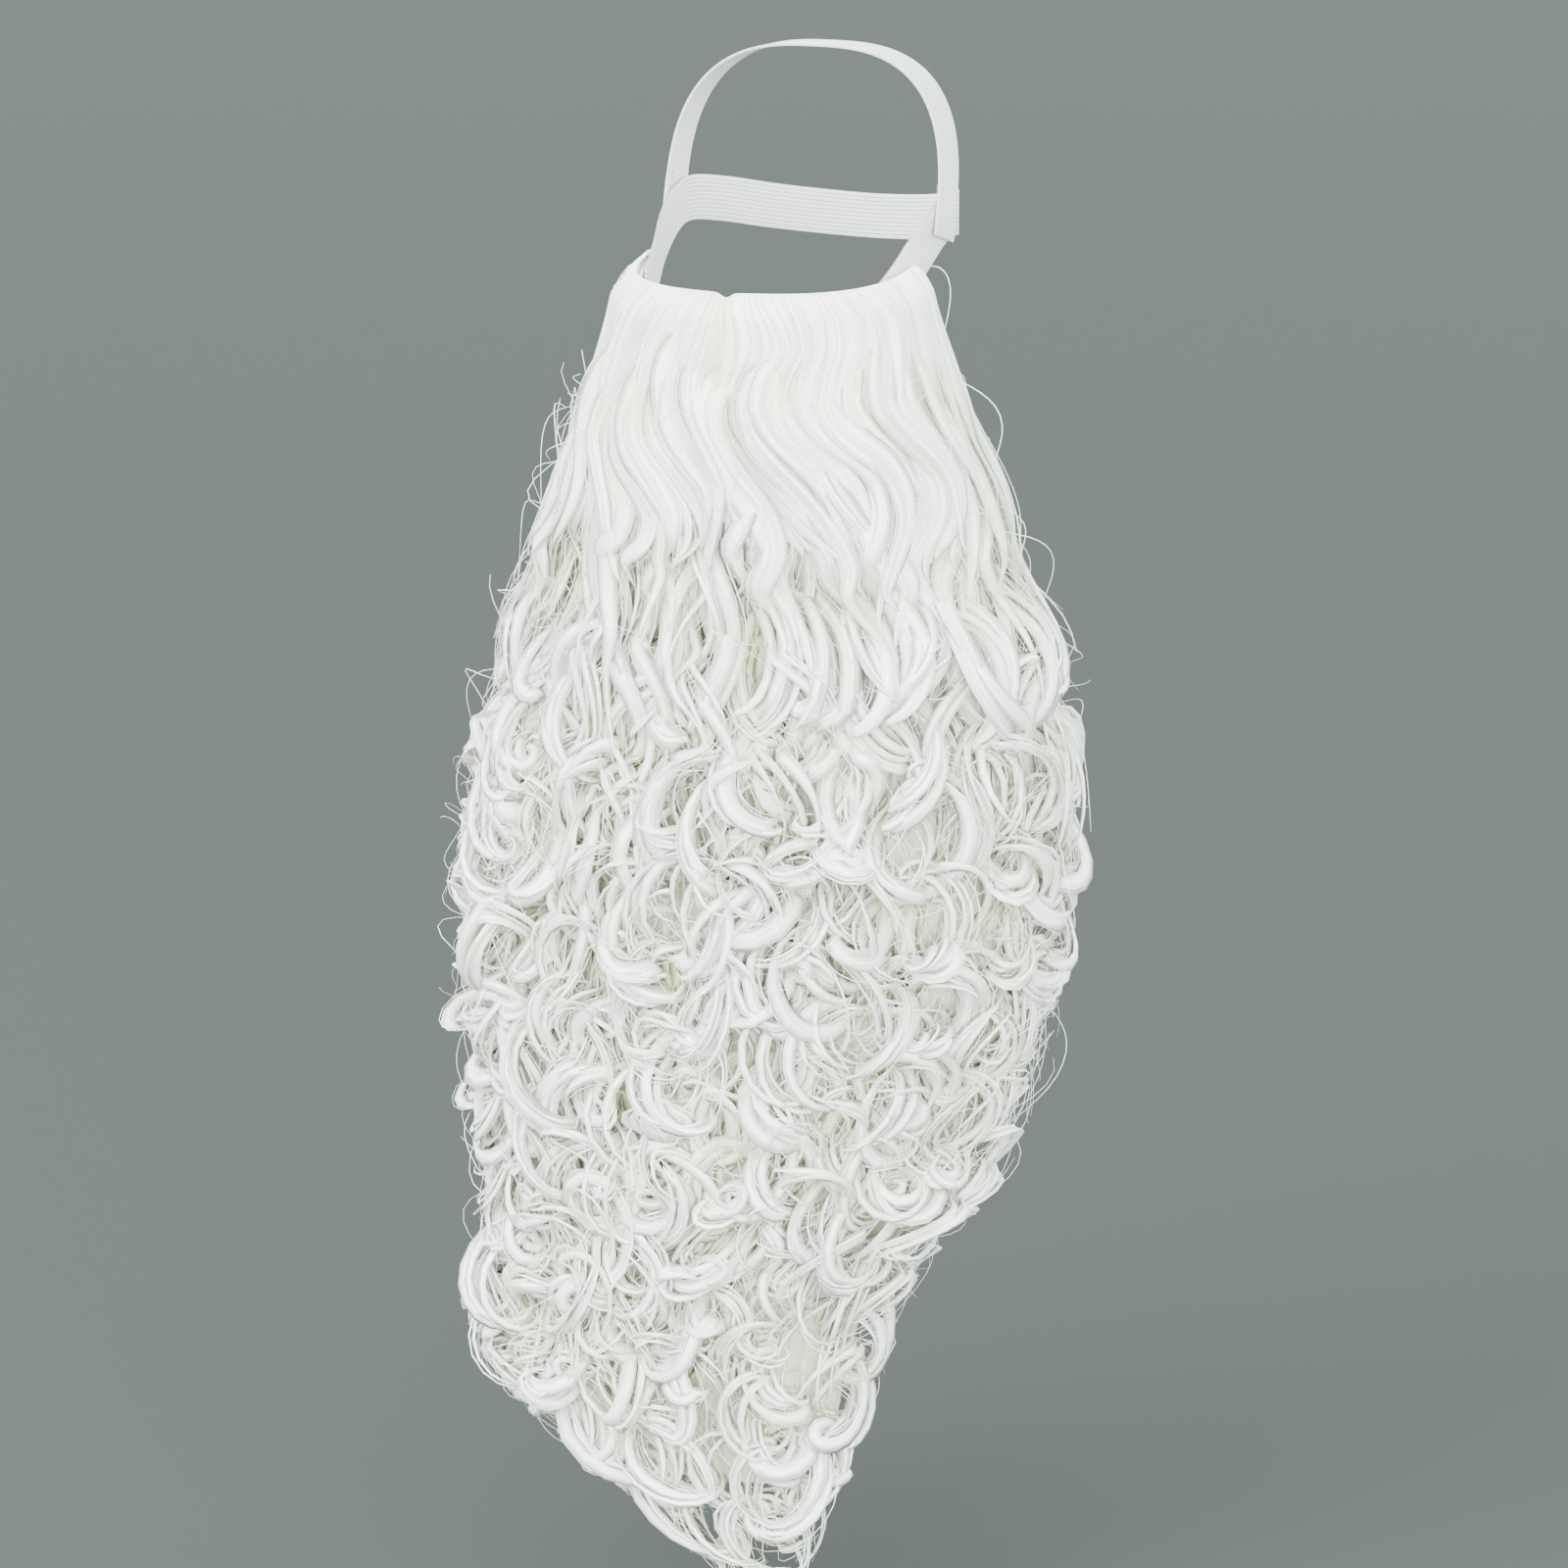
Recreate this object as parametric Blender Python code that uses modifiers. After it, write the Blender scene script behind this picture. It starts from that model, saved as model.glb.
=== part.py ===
"""A long curly false beard: cloth backing, moustache, beard hair and two elastic head straps.

Metres, +Z up. The wearer faces -Y, so +X is the wearer's left.
The origin is under the middle of the crown strap, where the strap sits on the top of the head.
"""

import math
import random

import bmesh
import bpy
from mathutils import Vector

# The head that the beard is made for, as a rounded box form
HEAD_HALF_BREADTH = 0.0775
CROWN_TO_WIDEST = 0.088
CROWN_ROUNDNESS = 2.8
CROWN_STRAP_LEAN = 0.2
CROWN_STRAP_TAIL = 0.16
CROWN_TO_LIP = 0.122

# Gap that neighbouring pieces keep
CLEARANCE = 0.0003

# Elastic webbing of both straps
STRAP_WIDTH = 0.025
STRAP_THICKNESS = 0.0014
STRAP_STEPS = 32

# Cloth backing, cut to the lower face from one sideburn to the other
BACKING_THICKNESS = 0.002
BACKING_HALF_WIDTH = 0.074
BACKING_SIDE_Y = -0.058
BACKING_DEPTH = 0.067
BACKING_FRONT_HEIGHT = 0.082
BACKING_SIDE_HEIGHT = 0.046
BACKING_CORNER_RISE = 0.008
BACKING_JAW_DROP = 0.022
BACKING_JAW_TAPER = 12.2
BACKING_STEPS = 24

# Course of the back strap on the wearer's left, from the backing's inside round to the nape.
# It is drawn in plan by x and y, with the height of its middle line.
BACK_STRAP_COLUMNS = ("x", "y", "z")
BACK_STRAP_COURSE = (
    (0.0682, -0.0780, -0.1310),
    (0.0718, -0.0600, -0.1190),
    (0.0763, -0.0400, -0.1030),
    (0.0782, -0.0200, -0.0910),
    (0.0775, -0.0030, -0.0870),
    (0.0700, 0.0220, -0.0900),
    (0.0520, 0.0480, -0.0960),
    (0.0270, 0.0650, -0.1000),
    (0.0000, 0.0705, -0.1015),
)

# Lofted core of the hair. drop is measured down from the lip line, the rest in the part's frame.
# The outer face is half an ellipse in plan and the hollow inner face another.
HAIR_COLUMNS = ("drop", "half_width", "side_y", "front_y", "centre_x", "inner_half", "inner_front")
HAIR_SECTIONS = (
    (-0.004, 0.0795, -0.058, -0.1305, 0.000, 0.0772, -0.1282),
    (0.004, 0.0815, -0.058, -0.1325, 0.000, 0.0772, -0.1282),
    (0.024, 0.0860, -0.058, -0.1345, 0.000, 0.0772, -0.1282),
    (0.040, 0.0910, -0.058, -0.1365, 0.000, 0.0754, -0.1266),
    (0.080, 0.1050, -0.056, -0.1410, 0.000, 0.0695, -0.1190),
    (0.130, 0.1240, -0.054, -0.1460, 0.000, 0.0820, -0.1160),
    (0.180, 0.1440, -0.052, -0.1510, 0.003, 0.1010, -0.1140),
    (0.240, 0.1560, -0.054, -0.1570, 0.002, 0.1180, -0.1160),
    (0.300, 0.1620, -0.058, -0.1630, 0.000, 0.1260, -0.1200),
    (0.360, 0.1600, -0.064, -0.1680, 0.000, 0.1220, -0.1240),
    (0.420, 0.1500, -0.074, -0.1740, 0.000, 0.1100, -0.1260),
    (0.480, 0.1360, -0.088, -0.1790, -0.008, 0.0920, -0.1300),
    (0.540, 0.1160, -0.104, -0.1810, -0.024, 0.0700, -0.1350),
    (0.590, 0.1040, -0.118, -0.1800, -0.026, 0.0440, -0.1400),
    (0.630, 0.0700, -0.130, -0.1750, 0.002, 0.0220, -0.1450),
    (0.660, 0.0340, -0.142, -0.1680, 0.032, 0.0080, -0.1500),
)
HAIR_PLAN_STEPS = 12

# Drop below the lip line at which the hair on the jaw ends and the free fall begins
JAW_DROP = 0.135

# Rows of locks sewn on the beard. across runs from -1 at the wearer's right edge to 1 at the left.
# sink is how far a lock's line lies under the core's face; thick is its radius at the root.
TIER_COLUMNS = (
    "count", "first", "last", "drop", "length", "thick",
    "root_sink", "end_sink", "root_curl", "end_curl", "turns", "steps",
)
FRONT_TIERS = (
    (3, 0.86, 0.95, 0.035, 0.230, 0.0100, 0.003, 0.001, 0.001, 0.010, 1.5, 9),
    (3, -0.95, -0.86, 0.035, 0.230, 0.0100, 0.003, 0.002, 0.001, 0.008, 1.5, 9),
    (7, -0.84, 0.84, 0.125, 0.205, 0.0130, 0.010, 0.006, 0.003, 0.014, 1.5, 10),
    (7, -0.95, 0.96, 0.210, 0.195, 0.0125, 0.012, 0.004, 0.005, 0.018, 1.7, 11),
    (7, -0.95, 0.92, 0.325, 0.170, 0.0120, 0.012, 0.006, 0.007, 0.019, 1.8, 11),
    (5, -0.96, 0.58, 0.425, 0.170, 0.0115, 0.012, 0.000, 0.009, 0.022, 1.7, 11),
    (4, -0.92, 0.50, 0.510, 0.125, 0.0105, 0.010, 0.004, 0.008, 0.020, 1.5, 9),
    (2, 0.00, 0.80, 0.600, 0.088, 0.0095, 0.008, 0.008, 0.006, 0.014, 1.3, 9),
)
BACK_TIERS = (
    (4, -0.88, 0.88, 0.160, 0.200, 0.0100, 0.008, 0.008, 0.004, 0.012, 1.5, 7),
    (3, -0.80, 0.80, 0.330, 0.190, 0.0100, 0.008, 0.008, 0.006, 0.014, 1.5, 8),
)
LOCK_SIDES_LEVEL = 1
LOCK_TIP_SHARE = 0.42
LOCK_ROOT_SHARE = 0.35
LOCK_SEED = 24

# Moustache, brushed to both sides from the parting under the nose
MOUSTACHE_COLUMNS = ("across", "length", "thick", "sway", "spread")
MOUSTACHE_LOCKS = (
    (0.090, 0.120, 0.0085, 0.004, 0.07),
    (0.195, 0.145, 0.0095, 0.010, 0.11),
    (0.300, 0.157, 0.0095, 0.013, 0.14),
    (0.405, 0.150, 0.0095, 0.012, 0.14),
    (0.505, 0.134, 0.0090, 0.011, 0.11),
    (0.600, 0.115, 0.0080, 0.009, 0.07),
)
MOUSTACHE_STEPS = 9
MOUSTACHE_ROOT_DROP = -0.001
MOUSTACHE_FLARE = 0.004
MOUSTACHE_LIFT = 0.0008
MOUSTACHE_BED_THICKNESS = 0.003
MOUSTACHE_BED_DROPS = (0.080, 0.040, 0.024, 0.004)
MOUSTACHE_BED_STEPS = 4
MOUSTACHE_PARTING = 0.012

# Finishes
WHITE_FIBRE = (0.86, 0.88, 0.86, 1.0)
WHITE_WEBBING = (0.80, 0.83, 0.82, 1.0)
WHITE_CLOTH = (0.82, 0.82, 0.78, 1.0)


def clear_scene():
    for thing in list(bpy.data.objects):
        bpy.data.objects.remove(thing)


def new_collection(name):
    made = bpy.data.collections.new(name)
    bpy.context.scene.collection.children.link(made)
    return made


def finish(name, colour, roughness):
    made = bpy.data.materials.new(name)
    made.use_nodes = True
    shader = made.node_tree.nodes["Principled BSDF"]
    shader.inputs["Base Color"].default_value = colour
    shader.inputs["Roughness"].default_value = roughness
    shader.inputs["Metallic"].default_value = 0.0
    return made


def rows_of(columns, table):
    return [dict(zip(columns, row)) for row in table]


def smooth_between(a, b, c, d, t):
    """Catmull-Rom value between b and c."""
    return 0.5 * (
        2 * b + (c - a) * t + (2 * a - 5 * b + 4 * c - d) * t * t + (3 * b - a - 3 * c + d) * t ** 3
    )


def along_table(rows, key, at):
    """The row of a table at a value of its key column, smoothly between the rows that are given."""
    at = min(max(at, rows[0][key]), rows[-1][key])
    place = next(i for i in range(1, len(rows)) if at <= rows[i][key])
    before, after = rows[place - 1], rows[place]
    t = (at - before[key]) / (after[key] - before[key])
    ends = (rows[max(place - 2, 0)], before, after, rows[min(place + 1, len(rows) - 1)])
    return {name: smooth_between(*[row[name] for row in ends], t) for name in before}


def as_object(name, mesh, group, material):
    made = bpy.data.objects.new(name, mesh)
    group.objects.link(made)
    mesh.materials.clear()
    mesh.materials.append(material)
    return made


def sheet(name, steps_along, steps_across, place, group, material):
    """An open sheet whose point at shares along and across comes from place, facing along x across."""
    form = bmesh.new()
    bmesh.ops.create_grid(form, x_segments=steps_along, y_segments=steps_across, size=1.0)
    for vertex in form.verts:
        vertex.co = place((vertex.co.x + 1) / 2, (vertex.co.y + 1) / 2)
    mesh = bpy.data.meshes.new(name)
    form.to_mesh(mesh)
    form.free()
    return as_object(name, mesh, group, material)


def thicken(thing, thickness):
    wall = thing.modifiers.new("wall", "SOLIDIFY")
    wall.thickness = thickness
    wall.offset = 1.0
    wall.use_even_offset = True


# Head straps


def crown_strap_point(along, across):
    """Over the head from one side to the other, each end reaching down over the back strap."""
    angle = math.pi + CROWN_STRAP_TAIL - along * (math.pi + 2 * CROWN_STRAP_TAIL)
    half = HEAD_HALF_BREADTH + STRAP_THICKNESS + 5 * CLEARANCE
    if math.sin(angle) < 0:
        x, z = half, -CROWN_TO_WIDEST * (1 - math.sin(angle))
    else:
        x = half * abs(math.cos(angle)) ** (2 / CROWN_ROUNDNESS)
        z = -CROWN_TO_WIDEST * (1 - math.sin(angle) ** (2 / CROWN_ROUNDNESS))
    y = (across - 0.5) * STRAP_WIDTH + CROWN_STRAP_LEAN * z
    return Vector((math.copysign(x, math.cos(angle)), y, z))


def build_crown_strap(group, material):
    strap = sheet("crown_strap", STRAP_STEPS, 2, crown_strap_point, group, material)
    thicken(strap, STRAP_THICKNESS)
    return strap


def back_strap_line():
    """Middle line of the back strap, from the wearer's left corner round the nape to the right."""
    course = rows_of(BACK_STRAP_COLUMNS, BACK_STRAP_COURSE)
    left = [dict(row, place=float(i)) for i, row in enumerate(course)]
    right = [dict(row, x=-row["x"], place=2.0 * (len(left) - 1) - row["place"]) for row in left[-2::-1]]
    return left + right


def build_back_strap(group, material):
    line = back_strap_line()
    last = line[-1]["place"]

    def middle(along):
        row = along_table(line, "place", along * last)
        return Vector((row["x"], row["y"], row["z"]))

    def place(along, across):
        step = 0.004
        tangent = middle(min(along + step, 1.0)) - middle(max(along - step, 0.0))
        slope = math.atan2(tangent.z, math.hypot(tangent.x, tangent.y))
        return middle(along) + Vector((0, 0, (across - 0.5) * STRAP_WIDTH / math.cos(slope)))

    strap = sheet("back_strap", 2 * STRAP_STEPS, 1, place, group, material)
    thicken(strap, STRAP_THICKNESS)
    return strap


# Cloth backing


def jaw_scale(drop):
    """How much narrower the lower face is at a drop below the lip line."""
    return 1 - BACKING_JAW_TAPER * max(drop - BACKING_JAW_DROP, 0.0) ** 1.5


def build_backing(group, material):
    def place(along, across):
        angle = (along - 0.5) * math.pi
        front = math.cos(angle)
        top = BACKING_CORNER_RISE * (1 - front) ** 2
        height = BACKING_SIDE_HEIGHT + (BACKING_FRONT_HEIGHT - BACKING_SIDE_HEIGHT) * front ** 0.6
        z = top - (1 - across) * height
        scale = jaw_scale(-z)
        return Vector((
            scale * BACKING_HALF_WIDTH * math.sin(angle),
            BACKING_SIDE_Y - scale * BACKING_DEPTH * front,
            z - CROWN_TO_LIP,
        ))

    backing = sheet("backing", BACKING_STEPS, 4, place, group, material)
    thicken(backing, BACKING_THICKNESS)
    return backing


# Hair

HAIR_ROWS = rows_of(HAIR_COLUMNS, HAIR_SECTIONS)


def hair_face(across, drop, sink, inner=False):
    """A point sink metres under the hair core's outer face, or under its hollow inner face."""
    row = along_table(HAIR_ROWS, "drop", drop)
    angle = across * math.pi / 2
    if inner:
        half, front = row["inner_half"] + sink, row["inner_front"] - sink
    else:
        half, front = row["half_width"] - sink, row["front_y"] + sink
    depth = row["side_y"] - front
    return Vector((
        row["centre_x"] + half * math.sin(angle),
        row["side_y"] - depth * math.cos(angle),
        -CROWN_TO_LIP - drop,
    ))


def corner_lift(across):
    """Rise of the hair's top edge towards the sideburns."""
    return BACKING_CORNER_RISE * (1 - math.cos(across * math.pi / 2)) ** 2


def build_core(name, group, material):
    """Crescent sections joined into one closed body: outer face, inner face, side edges and ends."""
    form = bmesh.new()
    steps = range(HAIR_PLAN_STEPS + 1)
    rings = []
    for row in HAIR_ROWS:
        ring = []
        for inner in (False, True):
            for step in steps:
                across = 2 * step / HAIR_PLAN_STEPS - 1
                point = hair_face(across, row["drop"], 0.0, inner)
                fade = max(0.0, 1 - max(row["drop"], 0.0) / 0.08)
                point.z += corner_lift(across) * fade
                ring.append(form.verts.new(point))
        rings.append(ring)
    count = len(steps)
    for above, below in zip(rings, rings[1:]):
        for j in range(count - 1):
            form.faces.new((above[j], below[j], below[j + 1], above[j + 1]))
            k = count + j
            form.faces.new((above[k], above[k + 1], below[k + 1], below[k]))
        for outer, inner in ((0, count), (count - 1, 2 * count - 1)):
            form.faces.new((above[outer], above[inner], below[inner], below[outer]))
    for ring in (rings[0], rings[-1]):
        for j in range(count - 1):
            form.faces.new((ring[j], ring[j + 1], ring[count + j + 1], ring[count + j]))
    bmesh.ops.recalc_face_normals(form, faces=form.faces)
    mesh = bpy.data.meshes.new(name)
    form.to_mesh(mesh)
    form.free()
    return as_object(name, mesh, group, material)


def lock_frame(across, drop, sink, inner):
    """Place on the hair's face with the directions sideways, outwards and down along it."""
    step = 0.002
    here = hair_face(across, drop, sink, inner)
    side = (hair_face(across + step, drop, sink, inner) - here).normalized()
    down = (hair_face(across, drop + step, sink, inner) - here).normalized()
    out = down.cross(side).normalized()
    return here, side, -out if inner else out, down


def curl_point(across, drop, sink, radius, turn, lean, inner=False):
    """A point on a curl that winds about the hair's face. lean tips the curl from corkscrew to ring."""
    here, side, out, down = lock_frame(across, drop, sink, inner)
    second = out * math.cos(lean) + down * math.sin(lean)
    return here + radius * (math.sin(turn) * side + (1 - math.cos(turn)) * second)


def tier_locks(tier, chance, inner=False):
    """Centre lines with radii for one row of locks, each a list of (point, radius)."""
    locks = []
    for number in range(tier["count"]):
        share = number / max(tier["count"] - 1, 1)
        across = tier["first"] + share * (tier["last"] - tier["first"])
        drop = tier["drop"] + chance.uniform(-0.012, 0.012)
        length = tier["length"] * chance.uniform(0.92, 1.06)
        drift = chance.uniform(-0.05, 0.05)
        winding = chance.choice((-1, 1))
        start = chance.uniform(0.0, 0.8)
        lean = chance.uniform(0.1, 0.9)
        line = []
        for step in range(tier["steps"] + 1):
            s = step / tier["steps"]
            radius = tier["root_curl"] + (tier["end_curl"] - tier["root_curl"]) * s
            radius *= min(1.0, s * 4)
            sink = tier["root_sink"] + (tier["end_sink"] - tier["root_sink"]) * s
            turn = winding * (start + s * tier["turns"] * 2 * math.pi)
            place = drop + s * length
            point = curl_point(across + drift * s, place, sink, radius, turn, lean, inner)
            thick = tier["thick"] * (1 - (1 - LOCK_TIP_SHARE) * s ** 1.5)
            thick *= LOCK_ROOT_SHARE + (1 - LOCK_ROOT_SHARE) * min(1.0, s * 4)
            line.append((point, thick))
        locks.append(line)
    return locks


def tubes(name, locks, group, material):
    """One mesh of closed tapering tubes, one along each centre line."""
    curve = bpy.data.curves.new(name, "CURVE")
    curve.dimensions = "3D"
    curve.bevel_depth = 1.0
    curve.bevel_resolution = LOCK_SIDES_LEVEL
    curve.use_fill_caps = True
    for line in locks:
        spline = curve.splines.new("POLY")
        spline.points.add(len(line) - 1)
        for knot, (point, thick) in zip(spline.points, line):
            knot.co = (*point, 1.0)
            knot.radius = thick
    holder = as_object(name + "_line", curve, group, material)
    mesh = evaluated_mesh(holder)
    form = bmesh.new()
    form.from_mesh(mesh)
    bmesh.ops.remove_doubles(form, verts=form.verts, dist=0.00001)
    form.to_mesh(mesh)
    form.free()
    bpy.data.objects.remove(holder)
    return as_object(name, mesh, group, material)


def evaluated_mesh(thing):
    bpy.context.view_layer.update()
    graph = bpy.context.evaluated_depsgraph_get()
    return bpy.data.meshes.new_from_object(thing.evaluated_get(graph))


def combine(body, other, operation):
    """Joins two closed shapes, or keeps what they share, and drops the crumbs this leaves."""
    other.hide_render = True
    other.display_type = "WIRE"
    joined = body.modifiers.new("combine", "BOOLEAN")
    joined.operation = operation
    joined.object = other
    joined.use_self = operation == "UNION"
    form = bmesh.new()
    form.from_mesh(evaluated_mesh(body))
    islands = []
    waiting = set(form.verts)
    while waiting:
        island, edge = set(), [waiting.pop()]
        while edge:
            vertex = edge.pop()
            island.add(vertex)
            near = {link.other_vert(vertex) for link in vertex.link_edges} & waiting
            waiting -= near
            edge += near
        islands.append(island)
    crumbs = set(form.verts) - max(islands, key=len)
    bmesh.ops.delete(form, geom=list(crumbs), context="VERTS")
    body.modifiers.clear()
    form.to_mesh(body.data)
    form.free()


def between_heights(name, whole, low, high, group, cutters, material):
    """The part of a body that lies between two heights."""
    piece = as_object(name, whole.data.copy(), group, material)
    bpy.ops.mesh.primitive_cube_add(size=1, location=(0, 0, (low + high) / 2))
    block = bpy.context.object
    block.name = name + "_block"
    block.scale = (1, 1, high - low)
    for holder in list(block.users_collection):
        holder.objects.unlink(block)
    cutters.objects.link(block)
    combine(piece, block, "INTERSECT")
    return piece


def build_beard(group, cutters, material):
    """The hair of the chin and cheeks in one body, cut across into the part at the jaw and the fall."""
    chance = random.Random(LOCK_SEED)
    locks = []
    for tier in rows_of(TIER_COLUMNS, FRONT_TIERS):
        locks += tier_locks(tier, chance)
    for tier in rows_of(TIER_COLUMNS, BACK_TIERS):
        locks += tier_locks(tier, chance, inner=True)
    whole = build_core("beard_core", group, material)
    combine(whole, tubes("beard_locks", locks, cutters, material), "UNION")
    cut = -CROWN_TO_LIP - JAW_DROP
    between_heights("beard_upper", whole, cut + CLEARANCE / 2, 0.2, group, cutters, material)
    between_heights("beard_lower", whole, -1.2, cut - CLEARANCE / 2, group, cutters, material)
    bpy.data.objects.remove(whole)


def moustache_locks(side):
    """Locks of one half. Each lies on the core's face, so only its sideways wave bends it."""
    locks = []
    for row in rows_of(MOUSTACHE_COLUMNS, MOUSTACHE_LOCKS):
        line = []
        for step in range(MOUSTACHE_STEPS + 1):
            s = step / MOUSTACHE_STEPS
            thick = row["thick"] * (1 - 0.5 * s ** 2)
            thick *= LOCK_ROOT_SHARE + (1 - LOCK_ROOT_SHARE) * min(1.0, s * 2.5)
            wave = row["sway"] * math.sin(s * 2 * math.pi) * min(1.0, s * 2)
            across = side * (row["across"] + row["spread"] * s ** 1.6)
            lift = thick + MOUSTACHE_LIFT + MOUSTACHE_FLARE * s ** 3
            drop = MOUSTACHE_ROOT_DROP + s * row["length"]
            here, sideways, _, _ = lock_frame(across, drop, -lift, False)
            here.z += corner_lift(across) * (1 - s)
            line.append((here - side * wave * sideways, thick))
        locks.append(line)
    return locks


def build_moustache(name, side, group, cutters, material):
    """A thin bed of hair that lies on the beard, with the half's locks fused to it."""
    rows = len(MOUSTACHE_BED_DROPS) - 1

    def place(along, up):
        across = max(MOUSTACHE_BED_STEPS * along * 2 / HAIR_PLAN_STEPS, MOUSTACHE_PARTING)
        drop = MOUSTACHE_BED_DROPS[round(up * rows)]
        point = hair_face(side * across, drop, -MOUSTACHE_LIFT)
        point.z += corner_lift(across) * (1 - drop / 0.08)
        return point

    bed = sheet(name, MOUSTACHE_BED_STEPS, rows, place, group, material)
    thicken(bed, side * MOUSTACHE_BED_THICKNESS)
    combine(bed, tubes(name + "_locks", moustache_locks(side), cutters, material), "UNION")
    return bed


def main():
    clear_scene()
    group = new_collection("fake_beard")
    cutters = new_collection("fused_shapes")
    fibre = finish("hair_fibre", WHITE_FIBRE, 0.45)
    webbing = finish("elastic_webbing", WHITE_WEBBING, 0.8)
    cloth = finish("backing_cloth", WHITE_CLOTH, 0.9)
    build_crown_strap(group, webbing)
    build_back_strap(group, webbing)
    build_backing(group, cloth)
    build_beard(group, cutters, fibre)
    build_moustache("moustache_left", 1, group, cutters, fibre)
    build_moustache("moustache_right", -1, group, cutters, fibre)


main()
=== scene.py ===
import math

import bpy
import numpy as np
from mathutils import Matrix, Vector


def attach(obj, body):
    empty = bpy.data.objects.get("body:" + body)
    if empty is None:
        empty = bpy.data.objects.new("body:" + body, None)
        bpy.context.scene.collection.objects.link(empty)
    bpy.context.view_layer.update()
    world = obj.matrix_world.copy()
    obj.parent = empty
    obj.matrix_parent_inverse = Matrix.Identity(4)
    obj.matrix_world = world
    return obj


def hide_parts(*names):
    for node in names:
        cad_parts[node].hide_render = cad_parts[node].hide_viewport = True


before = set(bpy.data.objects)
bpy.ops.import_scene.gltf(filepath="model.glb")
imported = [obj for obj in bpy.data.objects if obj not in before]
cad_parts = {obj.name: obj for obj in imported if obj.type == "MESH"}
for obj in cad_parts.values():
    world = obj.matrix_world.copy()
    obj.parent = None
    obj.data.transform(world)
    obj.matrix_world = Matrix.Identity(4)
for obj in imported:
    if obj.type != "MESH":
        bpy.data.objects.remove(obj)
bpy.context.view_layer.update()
scene = bpy.context.scene


# Crown strap
#
# A band of flat white elastic, 25 mm wide, woven over rubber threads. It goes over the top of the
# head from one side to the other. Each end is cut aslant and sewn to the outside of the back strap.

HEAD_HALF_BREADTH = 0.0775
CROWN_TO_WIDEST = 0.088
CROWN_ROUNDNESS = 2.8
STRAP_WIDTH = 0.025
STRAP_THICKNESS = 0.0014
STRAP_EDGE = 0.0004
CROWN_STRAP_LENGTH = 0.33
CROWN_STRAP_GAP = 0.0015
CROWN_STRAP_LEAN = 0.2
CROWN_STRAP_TAIL = 0.16
CROWN_STRAP_SLANT = 0.007
CROWN_STRAP_CUT = 12


def crown_strap_place(along, across):
    """Over the head from the wearer's right to the left, each end's front corner cut short."""
    angle = math.pi + CROWN_STRAP_TAIL - along * (math.pi + 2 * CROWN_STRAP_TAIL)
    half = HEAD_HALF_BREADTH + STRAP_THICKNESS + CROWN_STRAP_GAP
    if math.sin(angle) < 0:
        x, z = half, -CROWN_TO_WIDEST * (1 - math.sin(angle))
    else:
        x = half * abs(math.cos(angle)) ** (2 / CROWN_ROUNDNESS)
        z = -CROWN_TO_WIDEST * (1 - math.sin(angle) ** (2 / CROWN_ROUNDNESS))
    y = (across - 0.5) * STRAP_WIDTH + CROWN_STRAP_LEAN * z
    end = max(0.0, 1 - CROWN_STRAP_CUT * min(along, 1 - along))
    z += CROWN_STRAP_SLANT * end * (1 - across)
    return Vector((math.copysign(x, math.cos(angle)), y, z))


def select_only(piece):
    bpy.ops.object.select_all(action="DESELECT")
    piece.select_set(True)
    bpy.context.view_layer.objects.active = piece


def cloth_grid(name, steps_along, steps_across, place, length, width):
    """A grid primitive laid out by place(along, across), with metres of cloth in its UV map."""
    bpy.ops.mesh.primitive_grid_add(x_subdivisions=steps_along, y_subdivisions=steps_across, size=1)
    piece = bpy.context.object
    piece.name = piece.data.name = name
    uv = piece.data.uv_layers[0]
    uv.name = "cloth"
    for loop in piece.data.loops:
        flat = piece.data.vertices[loop.vertex_index].co
        uv.data[loop.index].uv = ((flat.x + 0.5) * length, (flat.y + 0.5) * width)
    for vertex in piece.data.vertices:
        vertex.co = place(vertex.co.x + 0.5, vertex.co.y + 0.5)
    return piece


def give_wall(piece, thickness, edge, even=True):
    """A wall grown outwards from a face, or inwards if it is negative, with softened edges."""
    select_only(piece)
    wall = piece.modifiers.new("wall", "SOLIDIFY")
    wall.thickness = thickness
    wall.offset = 1.0
    wall.use_even_offset = even
    rounding = piece.modifiers.new("edge", "BEVEL")
    rounding.width = edge
    rounding.segments = 2
    rounding.limit_method = "ANGLE"
    rounding.angle_limit = math.radians(60)
    for modifier in list(piece.modifiers):
        bpy.ops.object.modifier_apply(modifier=modifier.name)
    bpy.ops.object.shade_smooth_by_angle(angle=math.radians(50))


def new_group(name, inputs, outputs):
    """A shader node group with named number or vector sockets, and its input and output nodes."""
    group = bpy.data.node_groups.new(name, "ShaderNodeTree")
    for title, kind, value in inputs:
        socket = group.interface.new_socket(title, in_out="INPUT", socket_type=kind)
        if value is not None:
            socket.default_value = value
    for title, kind in outputs:
        group.interface.new_socket(title, in_out="OUTPUT", socket_type=kind)
    return group, group.nodes.new("NodeGroupInput"), group.nodes.new("NodeGroupOutput")


def maths(tree, operation, first, second=None):
    """A Math node whose inputs are numbers or sockets, giving its output socket."""
    node = tree.nodes.new("ShaderNodeMath")
    node.operation = operation
    for place, value in enumerate((first, second)):
        if isinstance(value, bpy.types.NodeSocket):
            tree.links.new(value, node.inputs[place])
        elif value is not None:
            node.inputs[place].default_value = value
    return node.outputs[0]


def set_inputs(node, values):
    """Constants on a node's input sockets."""
    for title, value in values.items():
        node.inputs[title].default_value = value


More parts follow.
